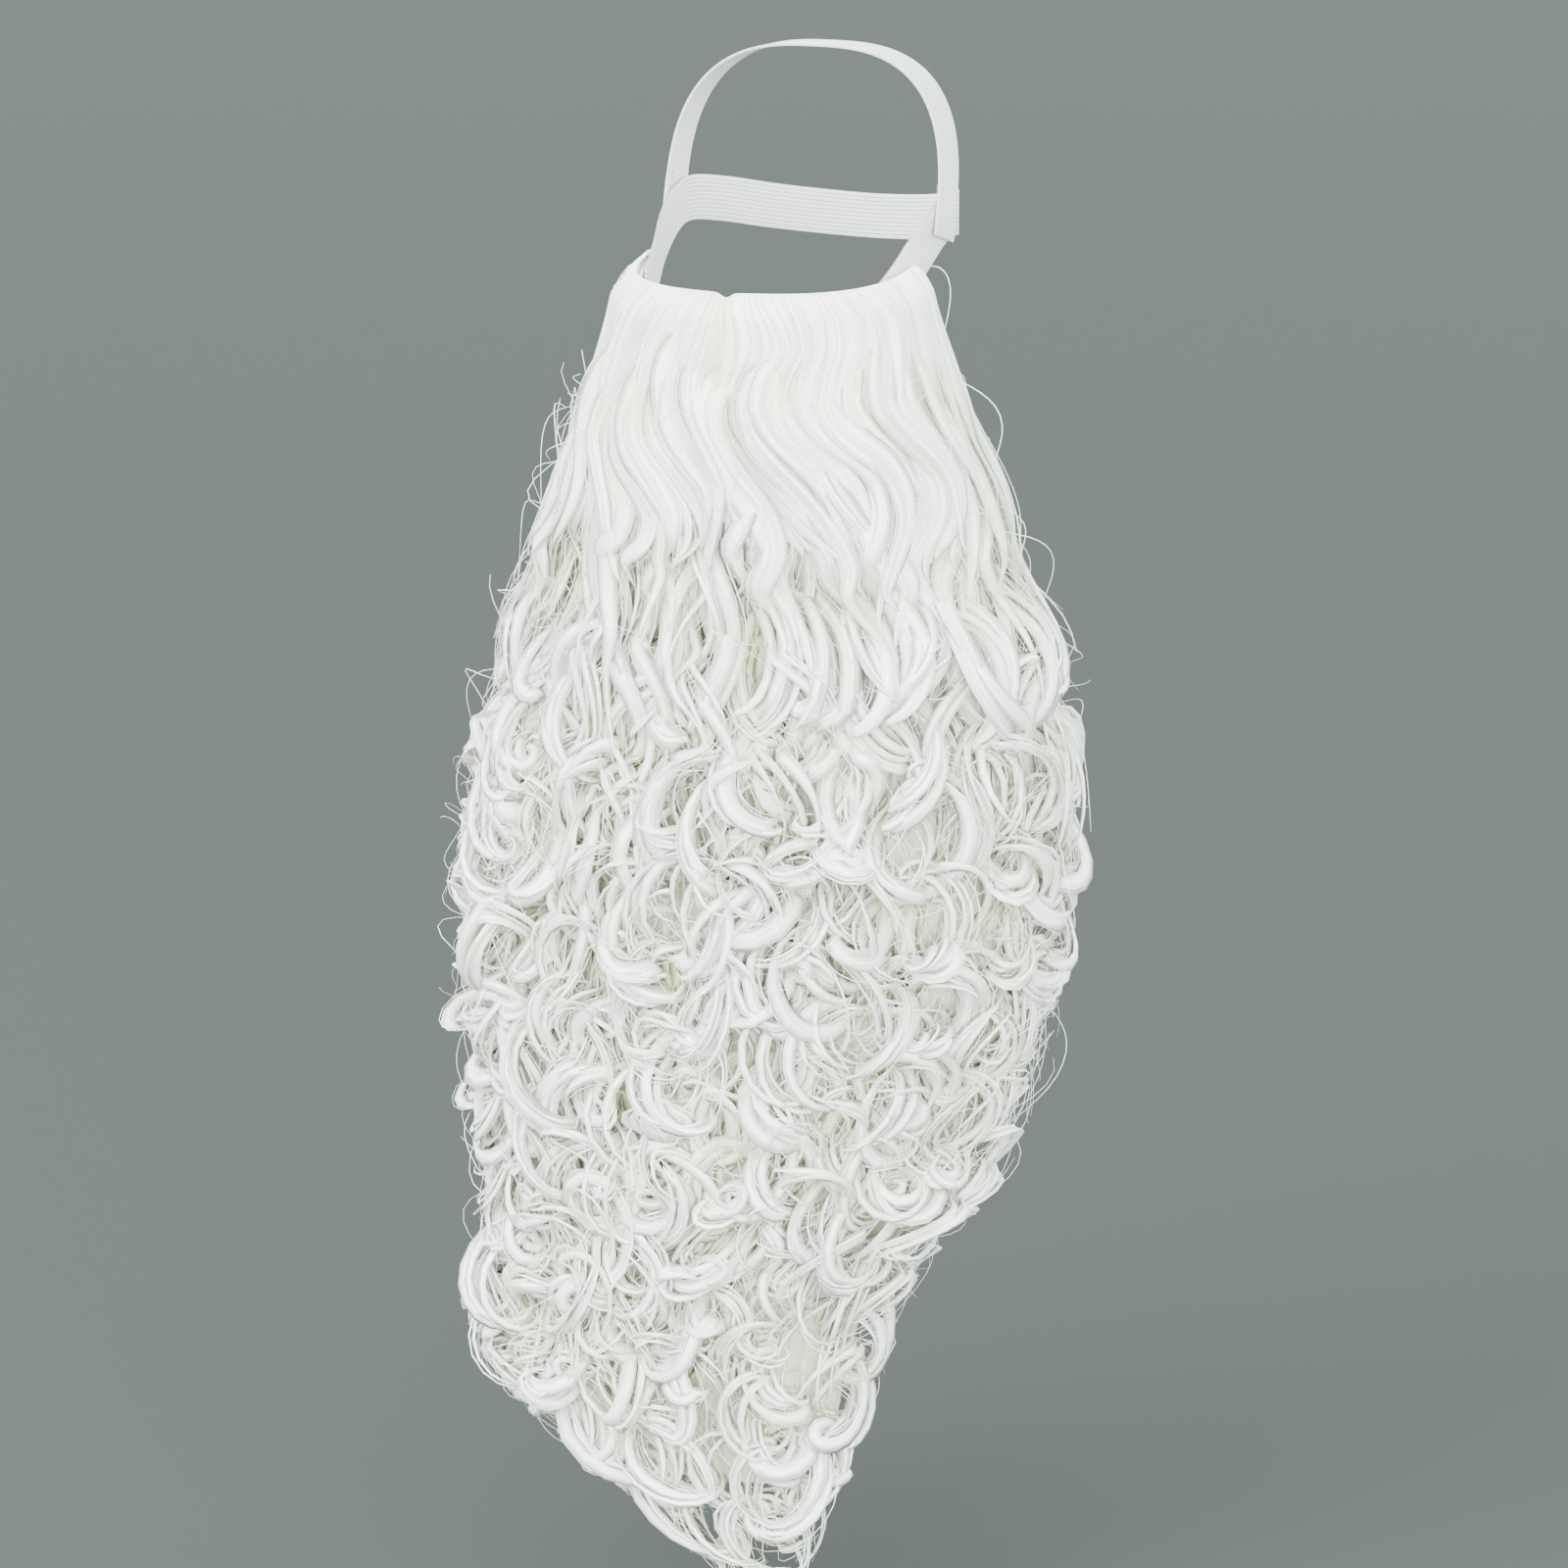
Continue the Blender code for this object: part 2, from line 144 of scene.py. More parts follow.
def build_weave_group():
    """Ribs along the cloth and fine yarns across it, from a UV map in metres."""
    group, given, made = new_group(
        "weave",
        [("UV", "NodeSocketVector", None), ("Rib Pitch", "NodeSocketFloat", 0.0023),
         ("Yarn Pitch", "NodeSocketFloat", 0.0009), ("Rib Share", "NodeSocketFloat", 0.7)],
        [("Height", "NodeSocketFloat"), ("Wear", "NodeSocketFloat")],
    )
    parts = group.nodes.new("ShaderNodeSeparateXYZ")
    group.links.new(given.outputs["UV"], parts.inputs[0])
    along, across = parts.outputs[0], parts.outputs[1]
    rib_turn = maths(group, "MULTIPLY", across, math.tau)
    rib_turn = maths(group, "DIVIDE", rib_turn, given.outputs["Rib Pitch"])
    rib_wave = maths(group, "SINE", maths(group, "MULTIPLY", rib_turn, 0.5))
    rib = maths(group, "SQRT", maths(group, "ABSOLUTE", rib_wave))
    yarn_turn = maths(group, "MULTIPLY", along, math.tau)
    yarn_turn = maths(group, "DIVIDE", yarn_turn, given.outputs["Yarn Pitch"])
    row = maths(group, "FLOOR", maths(group, "DIVIDE", rib_turn, math.tau))
    yarn_turn = maths(group, "ADD", yarn_turn, maths(group, "MULTIPLY", row, math.pi))
    yarn = maths(group, "ABSOLUTE", maths(group, "SINE", yarn_turn))
    share = maths(group, "MULTIPLY", rib, given.outputs["Rib Share"])
    rest = maths(group, "MULTIPLY", yarn, maths(group, "SUBTRACT", 1.0, given.outputs["Rib Share"]))
    group.links.new(maths(group, "ADD", share, rest), made.inputs["Height"])
    fuzz = group.nodes.new("ShaderNodeTexNoise")
    set_inputs(fuzz, {"Scale": 260.0, "Detail": 4.0})
    group.links.new(given.outputs["UV"], fuzz.inputs["Vector"])
    group.links.new(fuzz.outputs["Fac"], made.inputs["Wear"])
    return group


WEAVE = build_weave_group()


def new_material(name):
    """A material, with its node tree and its shader."""
    made = bpy.data.materials.new(name)
    made.use_nodes = True
    return made, made.node_tree, made.node_tree.nodes["Principled BSDF"]


def two_tones(tree, factor, first, second, first_at=0.0, second_at=1.0):
    """A colour that goes from the first to the second as the factor grows."""
    tone = tree.nodes.new("ShaderNodeValToRGB")
    for element, colour, position in zip(
        tone.color_ramp.elements, (first, second), (first_at, second_at)
    ):
        element.position = position
        element.color = colour
    tree.links.new(factor, tone.inputs[0])
    return tone.outputs[0]


def add_bump(tree, shader, height, distance, strength):
    bump = tree.nodes.new("ShaderNodeBump")
    set_inputs(bump, {"Strength": strength, "Distance": distance})
    tree.links.new(height, bump.inputs["Height"])
    tree.links.new(bump.outputs[0], shader.inputs["Normal"])


def cloth_material(name, light, shaded_dark, rib_pitch, yarn_pitch, rib_share, roughness, depth):
    """Woven cloth: the weave group drives the bump and paints shade into the colour between the yarns
    and ribs; its fuzz varies the tone at random.
    """
    made, tree, shader = new_material(name)
    set_inputs(shader, {"Roughness": roughness, "Sheen Weight": 0.25})
    uv = tree.nodes.new("ShaderNodeUVMap")
    uv.uv_map = "cloth"
    weave = tree.nodes.new("ShaderNodeGroup")
    weave.node_tree = WEAVE
    set_inputs(weave, {"Rib Pitch": rib_pitch, "Yarn Pitch": yarn_pitch, "Rib Share": rib_share})
    tree.links.new(uv.outputs[0], weave.inputs["UV"])
    # Painted shade between the yarns and ribs, from the weave's height, mixed with the fuzz noise's
    # random tone.
    groove_shade_and_fuzz = maths(tree, "ADD", maths(tree, "MULTIPLY", weave.outputs["Height"], 0.75),
                 maths(tree, "MULTIPLY", weave.outputs["Wear"], 0.35))
    tree.links.new(two_tones(tree, groove_shade_and_fuzz, shaded_dark, light, 0.25, 0.75), shader.inputs["Base Color"])
    add_bump(tree, shader, weave.outputs["Height"], depth, 0.8)
    return made


# The dark colour is painted shade between the yarns.
FLAT_ELASTIC = cloth_material(
    "flat_elastic", light=(0.70, 0.74, 0.72, 1), shaded_dark=(0.42, 0.46, 0.44, 1),
    rib_pitch=0.0012, yarn_pitch=0.0011, rib_share=0.45, roughness=0.72, depth=0.0003,
)

crown_strap = cloth_grid(
    "crown_strap_webbing", 96, 8, crown_strap_place, CROWN_STRAP_LENGTH, STRAP_WIDTH
)
give_wall(crown_strap, STRAP_THICKNESS, STRAP_EDGE)
crown_strap.data.materials.append(FLAT_ELASTIC)
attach(crown_strap, "root")
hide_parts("crown_strap")


# Back strap
#
# A band of ribbed white elastic that goes round behind the head from one corner of the backing to
# the other. It has eleven raised ribs along it, and its ends are sewn inside the backing's corners.

BACK_STRAP_RIBS = 11
BACK_STRAP_LENGTH = 0.36
SHORT_STEP = 0.004
BACK_STRAP_COURSE = (
    (0.0682, -0.0780, -0.1310),
    (0.0718, -0.0600, -0.1190),
    (0.0763, -0.0400, -0.1030),
    (0.0782, -0.0200, -0.0910),
    (0.0775, -0.0030, -0.0870),
    (0.0700, 0.0220, -0.0900),
    (0.0520, 0.0480, -0.0960),
    (0.0270, 0.0650, -0.1000),
    (0.0000, 0.0705, -0.1015),
)


def back_strap_middle(along):
    """The strap's middle line, a smooth curve from the left corner round behind to the right."""
    knots = [Vector(row) for row in BACK_STRAP_COURSE]
    knots += [Vector((-knot.x, knot.y, knot.z)) for knot in knots[-2::-1]]
    at = min(max(along, 0.0), 1.0) * (len(knots) - 1)
    i = min(int(at), len(knots) - 2)
    t = at - i
    a, b, c, d = knots[max(i - 1, 0)], knots[i], knots[i + 1], knots[min(i + 2, len(knots) - 1)]
    return 0.5 * (
        2 * b + (c - a) * t + (2 * a - 5 * b + 4 * c - d) * t * t + (3 * b - a - 3 * c + d) * t ** 3
    )


def back_strap_place(along, across):
    tangent = back_strap_middle(along + SHORT_STEP) - back_strap_middle(along - SHORT_STEP)
    slope = math.atan2(tangent.z, math.hypot(tangent.x, tangent.y))
    rise = (across - 0.5) * STRAP_WIDTH / math.cos(slope)
    return back_strap_middle(along) + Vector((0, 0, rise))


# The dark colour is painted shade in the grooves between the ribs and yarns.
RIBBED_ELASTIC = cloth_material(
    "ribbed_elastic", light=(0.72, 0.76, 0.74, 1), shaded_dark=(0.22, 0.25, 0.24, 1),
    rib_pitch=STRAP_WIDTH / BACK_STRAP_RIBS, yarn_pitch=0.0010, rib_share=0.75,
    roughness=0.75, depth=0.0007,
)

back_strap = cloth_grid(
    "back_strap_webbing", 128, 8, back_strap_place, BACK_STRAP_LENGTH, STRAP_WIDTH
)
give_wall(back_strap, STRAP_THICKNESS, STRAP_EDGE)
back_strap.data.materials.append(RIBBED_ELASTIC)
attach(back_strap, "root")
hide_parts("back_strap")


# Seam stitches
#
# Grey-white cotton thread that holds each end of the crown strap on the back strap: one row beside
# the slanted cut and one up the front edge. Each stitch is a short rounded bar on the webbing.

STITCH_LENGTH = 0.0026
STITCH_THICKNESS = 0.0005
STITCH_PITCH = 0.0034
CUT_ROW_INSET = 0.010
EDGE_ROW_START = 0.018
EDGE_ROW_STEP = 0.0095
EDGE_ROW_STITCHES = 7
EDGE_ROW_ACROSS = 0.10


def stitch_rows():
    """Each stitch's shares along and across the crown strap, and whether it runs up the strap."""
    rows = []
    count = int(STRAP_WIDTH / STITCH_PITCH)
    for end, inward in ((0.0, 1), (1.0, -1)):
        for i in range(count):
            rows.append((end + inward * CUT_ROW_INSET, (i + 0.5) / count, False))
        for i in range(EDGE_ROW_STITCHES):
            along = end + inward * (EDGE_ROW_START + EDGE_ROW_STEP * i)
            rows.append((along, EDGE_ROW_ACROSS, True))
    return rows


def build_stitch(name):
    """One stitch, modelled lying along X: a six-sided bar with rounded ends."""
    bpy.ops.mesh.primitive_cylinder_add(
        vertices=6, radius=STITCH_THICKNESS / 2, depth=STITCH_LENGTH, rotation=(0, math.pi / 2, 0)
    )
    made = bpy.context.object
    made.name = name
    bpy.ops.object.transform_apply(location=False, rotation=True, scale=False)
    ends = made.modifiers.new("ends", "BEVEL")
    ends.width = STITCH_THICKNESS * 0.3
    ends.segments = 2
    bpy.ops.object.modifier_apply(modifier="ends")
    bpy.ops.object.shade_smooth()
    return made


stitches = []
for number, (along, across, runs_up) in enumerate(stitch_rows()):
    if number == 0:
        stitch = build_stitch("strap_stitches")
        pattern = stitch.data.copy()
    else:
        stitch = bpy.data.objects.new("stitch", pattern.copy())
        scene.collection.objects.link(stitch)
    here = crown_strap_place(along, across)
    up = (crown_strap_place(along + SHORT_STEP, across) - here).normalized()
    side = (crown_strap_place(along, across + 0.02) - here).normalized()
    out = side.cross(up).normalized()
    run = up if runs_up else side
    third = out.cross(run).normalized()
    here += out * STRAP_THICKNESS
    for vertex in stitch.data.vertices:
        vertex.co = here + run * vertex.co.x + third * vertex.co.y + out * vertex.co.z
    stitches.append(stitch)
strap_stitches = stitches[0]
select_only(strap_stitches)
for stitch in stitches:
    stitch.select_set(True)
bpy.ops.object.join()


def thread_material(shaded_dark, light, twist_scale, depth):
    """Cotton thread: a fine twist drives the bump and paints shade into the colour in its grooves."""
    made, tree, shader = new_material("cotton_thread")
    set_inputs(shader, {"Roughness": 0.8})
    spot = tree.nodes.new("ShaderNodeTexCoord")
    twist = tree.nodes.new("ShaderNodeTexWave")
    set_inputs(twist, {"Scale": twist_scale, "Distortion": 1.5})
    tree.links.new(spot.outputs["Object"], twist.inputs["Vector"])
    # Painted shade: the colour is darker where the twist's bump is low.
    tone = two_tones(tree, twist.outputs["Fac"], shaded_dark, light)
    tree.links.new(tone, shader.inputs["Base Color"])
    add_bump(tree, shader, twist.outputs["Fac"], depth, 1.0)
    return made


# The first colour is the painted shade in the twist's grooves.
THREAD = thread_material((0.10, 0.11, 0.11, 1), (0.34, 0.36, 0.35, 1), 900.0, 0.0001)
strap_stitches.data.materials.append(THREAD)
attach(strap_stitches, "root")


# Cloth backing
#
# Off-white cotton cloth, 2 mm thick with its hem, cut to the lower face from one sideburn to the
# other. The hair is sewn to its outside, and it narrows under the chin, so it cups the jaw.

CROWN_TO_LIP = 0.122
BACKING_THICKNESS = 0.002
BACKING_EDGE = 0.0006
BACKING_HALF_WIDTH = 0.074
BACKING_SIDE_Y = -0.058
BACKING_DEPTH = 0.067
BACKING_FRONT_HEIGHT = 0.082
BACKING_SIDE_HEIGHT = 0.046
BACKING_CORNER_RISE = 0.008
BACKING_JAW_DROP = 0.022
BACKING_JAW_TAPER = 12.2
BACKING_FLAT = (0.222, 0.090)


def backing_place(along, across):
    """The cup's inner face, from the wearer's right to the left and from its foot to its top."""
    angle = (along - 0.5) * math.pi
    front = max(math.cos(angle), 0.0)
    top = BACKING_CORNER_RISE * (1 - front) ** 2
    height = BACKING_SIDE_HEIGHT + (BACKING_FRONT_HEIGHT - BACKING_SIDE_HEIGHT) * front ** 0.6
    z = top - (1 - across) * height
    scale = 1 - BACKING_JAW_TAPER * max(-z - BACKING_JAW_DROP, 0.0) ** 1.5
    return Vector((
        scale * BACKING_HALF_WIDTH * math.sin(angle),
        BACKING_SIDE_Y - scale * BACKING_DEPTH * front,
        z - CROWN_TO_LIP,
    ))


# The dark colour is painted shade between the yarns.
BACKING_CLOTH = cloth_material(
    "backing_cloth", light=(0.80, 0.80, 0.75, 1), shaded_dark=(0.60, 0.60, 0.54, 1),
    rib_pitch=0.0011, yarn_pitch=0.0011, rib_share=0.5, roughness=0.9, depth=0.00025,
)

backing = cloth_grid("backing_cloth_cup", 72, 24, backing_place, *BACKING_FLAT)
give_wall(backing, BACKING_THICKNESS, BACKING_EDGE)
backing.data.materials.append(BACKING_CLOTH)
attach(backing, "root")
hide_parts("backing")


# Hair bed
#
# The inner mass of the beard, where the sewn rows of white synthetic fibre lie packed together
# behind the outer curls. It is one thin body of rounded, wavy locks, and the curls grow out of it.

OUTER_FORM = (
    # drop below the lip line, half width, y of the sides, y of the front, x of the middle
    (-0.010, 0.0790, -0.058, -0.1300, 0.000),
    (-0.004, 0.0795, -0.058, -0.1305, 0.000),
    (0.004, 0.0815, -0.058, -0.1325, 0.000),
    (0.024, 0.0860, -0.058, -0.1345, 0.000),
    (0.040, 0.0910, -0.058, -0.1365, 0.000),
    (0.080, 0.1050, -0.056, -0.1410, 0.000),
    (0.130, 0.1220, -0.054, -0.1460, 0.001),
    (0.180, 0.1440, -0.052, -0.1510, 0.003),
    (0.240, 0.1560, -0.054, -0.1570, 0.002),
    (0.300, 0.1640, -0.058, -0.1630, -0.004),
    (0.360, 0.1610, -0.064, -0.1680, -0.005),
    (0.420, 0.1510, -0.074, -0.1740, -0.007),
    (0.480, 0.1360, -0.088, -0.1790, -0.010),
    (0.520, 0.1160, -0.098, -0.1810, -0.022),
    (0.560, 0.1120, -0.110, -0.1810, -0.031),
    (0.590, 0.1080, -0.118, -0.1800, -0.030),
    (0.620, 0.0900, -0.127, -0.1760, -0.016),
    (0.640, 0.0720, -0.135, -0.1720, -0.004),
    (0.660, 0.0480, -0.142, -0.1680, 0.012),
    (0.700, 0.0160, -0.150, -0.1640, 0.040),
)
INNER_FORM = (
    # the same columns, for the side that faces the wearer
    (-0.004, 0.0772, -0.058, -0.1282, 0.000),
    (0.024, 0.0772, -0.058, -0.1282, 0.000),
    (0.040, 0.0754, -0.058, -0.1266, 0.000),
    (0.080, 0.0715, -0.056, -0.1210, 0.000),
    (0.130, 0.0820, -0.054, -0.1160, 0.000),
    (0.180, 0.1010, -0.052, -0.1140, 0.000),
    (0.240, 0.1180, -0.054, -0.1160, 0.000),
    (0.300, 0.1260, -0.058, -0.1200, 0.000),
    (0.360, 0.1220, -0.064, -0.1240, 0.000),
    (0.420, 0.1100, -0.074, -0.1260, 0.000),
    (0.480, 0.0920, -0.088, -0.1300, -0.004),
    (0.540, 0.0700, -0.104, -0.1350, -0.012),
    (0.590, 0.0460, -0.118, -0.1400, -0.014),
    (0.630, 0.0240, -0.130, -0.1450, -0.002),
    (0.700, 0.0080, -0.142, -0.1500, 0.016),
)
TABLE_STEP = 0.002


def smooth_table(table, reach):
    """A table's drops in small steps, and its other columns there, rounded over reach steps."""
    rows = np.array(table)
    drops = np.arange(rows[0, 0], rows[-1, 0], TABLE_STEP)
    kernel = np.hanning(2 * reach + 3)[1:-1]
    kernel /= kernel.sum()
    columns = [np.interp(drops, rows[:, 0], column) for column in rows.T[1:]]
    return drops, np.array([
        np.convolve(np.pad(column, reach, mode="edge"), kernel, mode="valid") for column in columns
    ])


OUTER = smooth_table(OUTER_FORM, 6)
INNER = smooth_table(INNER_FORM, 6)


def unit(vectors):
    return vectors / np.maximum(np.linalg.norm(vectors, axis=-1, keepdims=True), 1e-9)


def form_point(form, across, drop, lift):
    """Points lift metres off a form's face. across runs from -1 at the wearer's right edge to 1."""
    drops, columns = form
    half, side_y, front_y, centre = [np.interp(drop, drops, column) for column in columns]
    angle = across * np.pi / 2
    depth = side_y - front_y + lift
    rise = BACKING_CORNER_RISE * (1 - np.cos(angle)) ** 2 * np.clip(1 - drop / 0.08, 0, 1)
    return np.stack([
        centre + (half + lift) * np.sin(angle),
        side_y - depth * np.cos(angle),
        -CROWN_TO_LIP - drop + rise + 0 * lift,
    ], axis=-1)


def form_frame(form, across, drop, lift):
    """Points on a form with the directions sideways, outwards and down along it."""
    here = form_point(form, across, drop, lift)
    side = unit(form_point(form, across + 0.01, drop, lift) - here)
    down = unit(form_point(form, across, drop + 0.002, lift) - here)
    return here, side, unit(np.cross(down, side)), down


BED_TOP = 0.000
BED_END = 0.645
BED_REACH = 2.04
BED_SINK = 0.010
BED_SINK_DROP = 0.06
BED_THICKNESS = 0.004
BED_EDGE = 0.0005
BED_CLOTH_WIDTH = 0.40
BED_LOCKS = 34
BED_LOCK_RELIEF = 0.0035
BED_WAVE = 0.05
BED_SWAY = 0.35
# Painted shade over the whole bed.
BED_SHADE = 0.7


def bed_place(along, across):
    """The bed's face, rippled by rounded locks that wave sideways on their way down."""
    drop = BED_END + (BED_TOP - BED_END) * across
    side = (along - 0.5) * BED_REACH
    wave = math.sin(math.tau * drop / BED_WAVE + 2.0 * math.sin(3 * side))
    sway = BED_SWAY * wave * min(drop / 0.1, 1)
    lump = abs(math.cos((side * BED_LOCKS / 2 + sway) * math.pi / 2)) ** 0.6
    fade = min(1.0, drop / 0.03)
    lift = -BED_SINK * min(1.0, drop / BED_SINK_DROP) + BED_LOCK_RELIEF * (lump - 0.5) * fade
    return Vector(form_point(OUTER, np.array(side), np.array(drop), np.array(lift)))


def build_streak_group():
    """Fine streaks along a fibre band, from a UV map that holds metres across and along it."""
    group, given, made = new_group(
        "fibre_streaks",
        [("UV", "NodeSocketVector", None), ("Fineness", "NodeSocketFloat", 3500.0)],
        [("Fine", "NodeSocketFloat"), ("Broad", "NodeSocketFloat")],
    )
    for title, share, length in (("Fine", 1.0, 14.0), ("Broad", 0.16, 6.0)):
        parts = group.nodes.new("ShaderNodeSeparateXYZ")
        group.links.new(given.outputs["UV"], parts.inputs[0])
        joined = group.nodes.new("ShaderNodeCombineXYZ")
        wide = maths(group, "MULTIPLY", given.outputs["Fineness"], share)
        group.links.new(maths(group, "MULTIPLY", parts.outputs[0], wide), joined.inputs[0])
        group.links.new(maths(group, "MULTIPLY", parts.outputs[1], length), joined.inputs[1])
        noise = group.nodes.new("ShaderNodeTexNoise")
        set_inputs(noise, {"Scale": 1.0, "Detail": 2.0})
        group.links.new(joined.outputs[0], noise.inputs["Vector"])
        group.links.new(noise.outputs["Fac"], made.inputs[title])
    return group


STREAKS = build_streak_group()
# Painted shade in the grooves between fine fibres, where the streaks' bump is low.
FIBRE_GROOVE_SHADE = (0.52, 0.52, 0.45, 1)


def hair_material(name, light, shade, roughness, streak_depth, fineness):
    """Glossy white synthetic fibre, with painted shade in the grooves between fibres. The attribute
    depth paints a cream shade on what lies deep between the curls.
    """
    made, tree, shader = new_material(name)
    set_inputs(shader, {"Specular IOR Level": 0.6, "Sheen Weight": 0.4, "Sheen Roughness": 0.45})
    uv = tree.nodes.new("ShaderNodeUVMap")
    uv.uv_map = "fibre"
    streaks = tree.nodes.new("ShaderNodeGroup")
    streaks.node_tree = STREAKS
    set_inputs(streaks, {"Fineness": fineness})
    tree.links.new(uv.outputs[0], streaks.inputs["UV"])
    deep = tree.nodes.new("ShaderNodeAttribute")
    deep.attribute_name = "depth"
    # Painted shade from the attribute depth, with a random tone to each lock.
    lock_tint = maths(tree, "SUBTRACT", streaks.outputs["Broad"], 0.5)
    shade_and_lock_tone = maths(tree, "ADD", deep.outputs["Fac"], maths(tree, "MULTIPLY", lock_tint, 0.7))
    lines = tree.nodes.new("ShaderNodeMix")
    lines.data_type = "RGBA"
    lines.blend_type = "MULTIPLY"
    set_inputs(lines, {"Factor": 0.65})
    tree.links.new(two_tones(tree, shade_and_lock_tone, light, shade, 0.15, 0.85), lines.inputs["A"])
    # The colour is multiplied by painted shade where the fine streaks are low.
    groove_shade = two_tones(tree, streaks.outputs["Fine"], FIBRE_GROOVE_SHADE, (1, 1, 1, 1), 0.36, 0.60)
    tree.links.new(groove_shade, lines.inputs["B"])
    tree.links.new(lines.outputs["Result"], shader.inputs["Base Color"])
    gloss = maths(tree, "MULTIPLY", streaks.outputs["Fine"], 0.2)
    tree.links.new(maths(tree, "ADD", gloss, roughness - 0.1), shader.inputs["Roughness"])
    add_bump(tree, shader, streaks.outputs["Fine"], streak_depth, 0.7)
    return made


def paint_shade_by_depth(mesh, values):
    """The attribute depth, painted shade from 0 on the outermost hair to 1 deep between the curls."""
    mesh.attributes.new("depth", "FLOAT", "POINT")
    mesh.attributes["depth"].data.foreach_set("value", values.astype(np.float32))


# A copy of the fibre material in darker cream tones: painted shade for the packed inner mass.
SHADED_PACKED_FIBRE = hair_material(
    "shaded_packed_fibre", light=(0.94, 0.94, 0.85, 1), shade=(0.90, 0.88, 0.68, 1),
    roughness=0.55, streak_depth=0.0014, fineness=520.0,
)

hair_bed = cloth_grid("hair_bed", 136, 64, bed_place, BED_CLOTH_WIDTH, BED_END - BED_TOP)
hair_bed.data.uv_layers[0].name = "fibre"
give_wall(hair_bed, -BED_THICKNESS, BED_EDGE, even=False)
# The whole bed is given painted shade, as hair that lies deep.
paint_shade_by_depth(hair_bed.data, np.full(len(hair_bed.data.vertices), BED_SHADE))
hair_bed.data.materials.append(SHADED_PACKED_FIBRE)
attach(hair_bed, "root")


# Moustache hair
#
# Straight bundles of synthetic fibre sewn along the top of the backing, rolled over its edge and
# brushed to both sides of a parting under the nose. They lie in broad waves as the fibre was set.

TOP_WAVES = (
    # drop, then where eleven waves of hair lie across the face, from the far edge to the near one
    (-0.004, -0.97, -0.72, -0.50, -0.27, -0.11, -0.01, 0.06, 0.19, 0.38, 0.62, 0.92),
    (0.010, -0.98, -0.76, -0.56, -0.31, -0.16, -0.02, 0.10, 0.26, 0.41, 0.69, 0.93),
    (0.024, -0.99, -0.78, -0.60, -0.37, -0.22, -0.05, 0.11, 0.29, 0.41, 0.69, 0.94),
    (0.039, -0.99, -0.75, -0.62, -0.39, -0.23, -0.07, 0.08, 0.21, 0.35, 0.65, 0.94),
    (0.053, -0.97, -0.72, -0.62, -0.39, -0.23, -0.05, 0.03, 0.18, 0.33, 0.61, 0.93),
    (0.067, -0.95, -0.75, -0.60, -0.41, -0.22, -0.01, 0.04, 0.22, 0.38, 0.66, 0.93),
    (0.081, -0.97, -0.80, -0.56, -0.40, -0.16, 0.04, 0.09, 0.30, 0.49, 0.74, 0.95),
    (0.095, -1.00, -0.84, -0.53, -0.31, -0.06, 0.08, 0.16, 0.37, 0.52, 0.78, 0.99),
    (0.110, -0.99, -0.82, -0.53, -0.22, 0.01, 0.07, 0.26, 0.38, 0.52, 0.75, 0.99),
    (0.124, -0.95, -0.78, -0.55, -0.20, 0.01, 0.03, 0.35, 0.40, 0.49, 0.68, 0.96),
    (0.138, -0.92, -0.76, -0.58, -0.22, -0.05, -0.02, 0.38, 0.44, 0.48, 0.65, 0.92),
)
PARTING_WAVE = 5.5
PARTING_X = 0.0035
PARTING_WIDTH = 0.16
PARTING_DEPTH = 0.0045
PARTING_NOTCH = 0.0026
PARTING_SHADE = 0.006
WAVE_WIDTH = 0.024
SHEET_TOP = -0.0040
SHEET_END = 0.130
SHEET_TUCK_DROP = 0.080
SHEET_LIFT = 0.0075
SHEET_ROOT_LIFT = -0.003
SHEET_ROLL = 0.012
SHEET_THICKNESS = 0.0012
SHEET_EDGE = 0.0003
SHEET_STEPS_DOWN = 60
SHEET_RIPPLES = (
    # locks to a wave, sideways sway, sway by drop, sway by wave, height
    (0.9, 1.1, 9, 1, 0.0016),
    (2.3, 1.7, 16, 2, 0.0009),
    (5.9, 2.0, 21, 3, 0.00035),
)
LOCK_START = (0.004, 0.060)
LOCK_LENGTH = (0.100, 0.190)
LOCK_WANDER = 0.16
LOCK_RIPPLE = 0.010
LOCK_RIPPLE_LENGTH = 0.09
LOCK_CURL_DROP = 0.085
LOCK_STRAND_HALF = 0.00026
FIBRE_HALF = (0.00018, 0.00030)
TOP_SINGLES = 110
TOP_LAYERS = (
    # lift, bands, half width, single fibres to a band
    (0.0070, 11, 0.0098, 6),
    (0.0090, 13, 0.0086, 10),
)
FIBRE = hair_material(
    "white_fibre", light=(0.95, 0.975, 0.93, 1), shade=(0.90, 0.88, 0.56, 1),
    roughness=0.36, streak_depth=0.0014, fineness=620.0,
)
WAVE_DROPS, WAVES = smooth_table(TOP_WAVES, 3)


def ease(value):
    """A smooth step from 0 to 1."""
    value = np.clip(value, 0, 1)
    return value * value * (3 - 2 * value)


def wave_across(wave, drop):
    """Where the hair of a wave, counted from the far edge, lies at a drop below the lip line."""
    at = np.clip((drop - WAVE_DROPS[0]) / TABLE_STEP, 0, len(WAVE_DROPS) - 1.001)
    i, j = np.clip(np.floor(wave), 0, len(WAVES) - 2).astype(int), at.astype(int)
    u, v = wave - i, at - j
    near = WAVES[i, j] * (1 - v) + WAVES[i, j + 1] * v
    far = WAVES[i + 1, j] * (1 - v) + WAVES[i + 1, j + 1] * v
    return near * (1 - u) + far * u


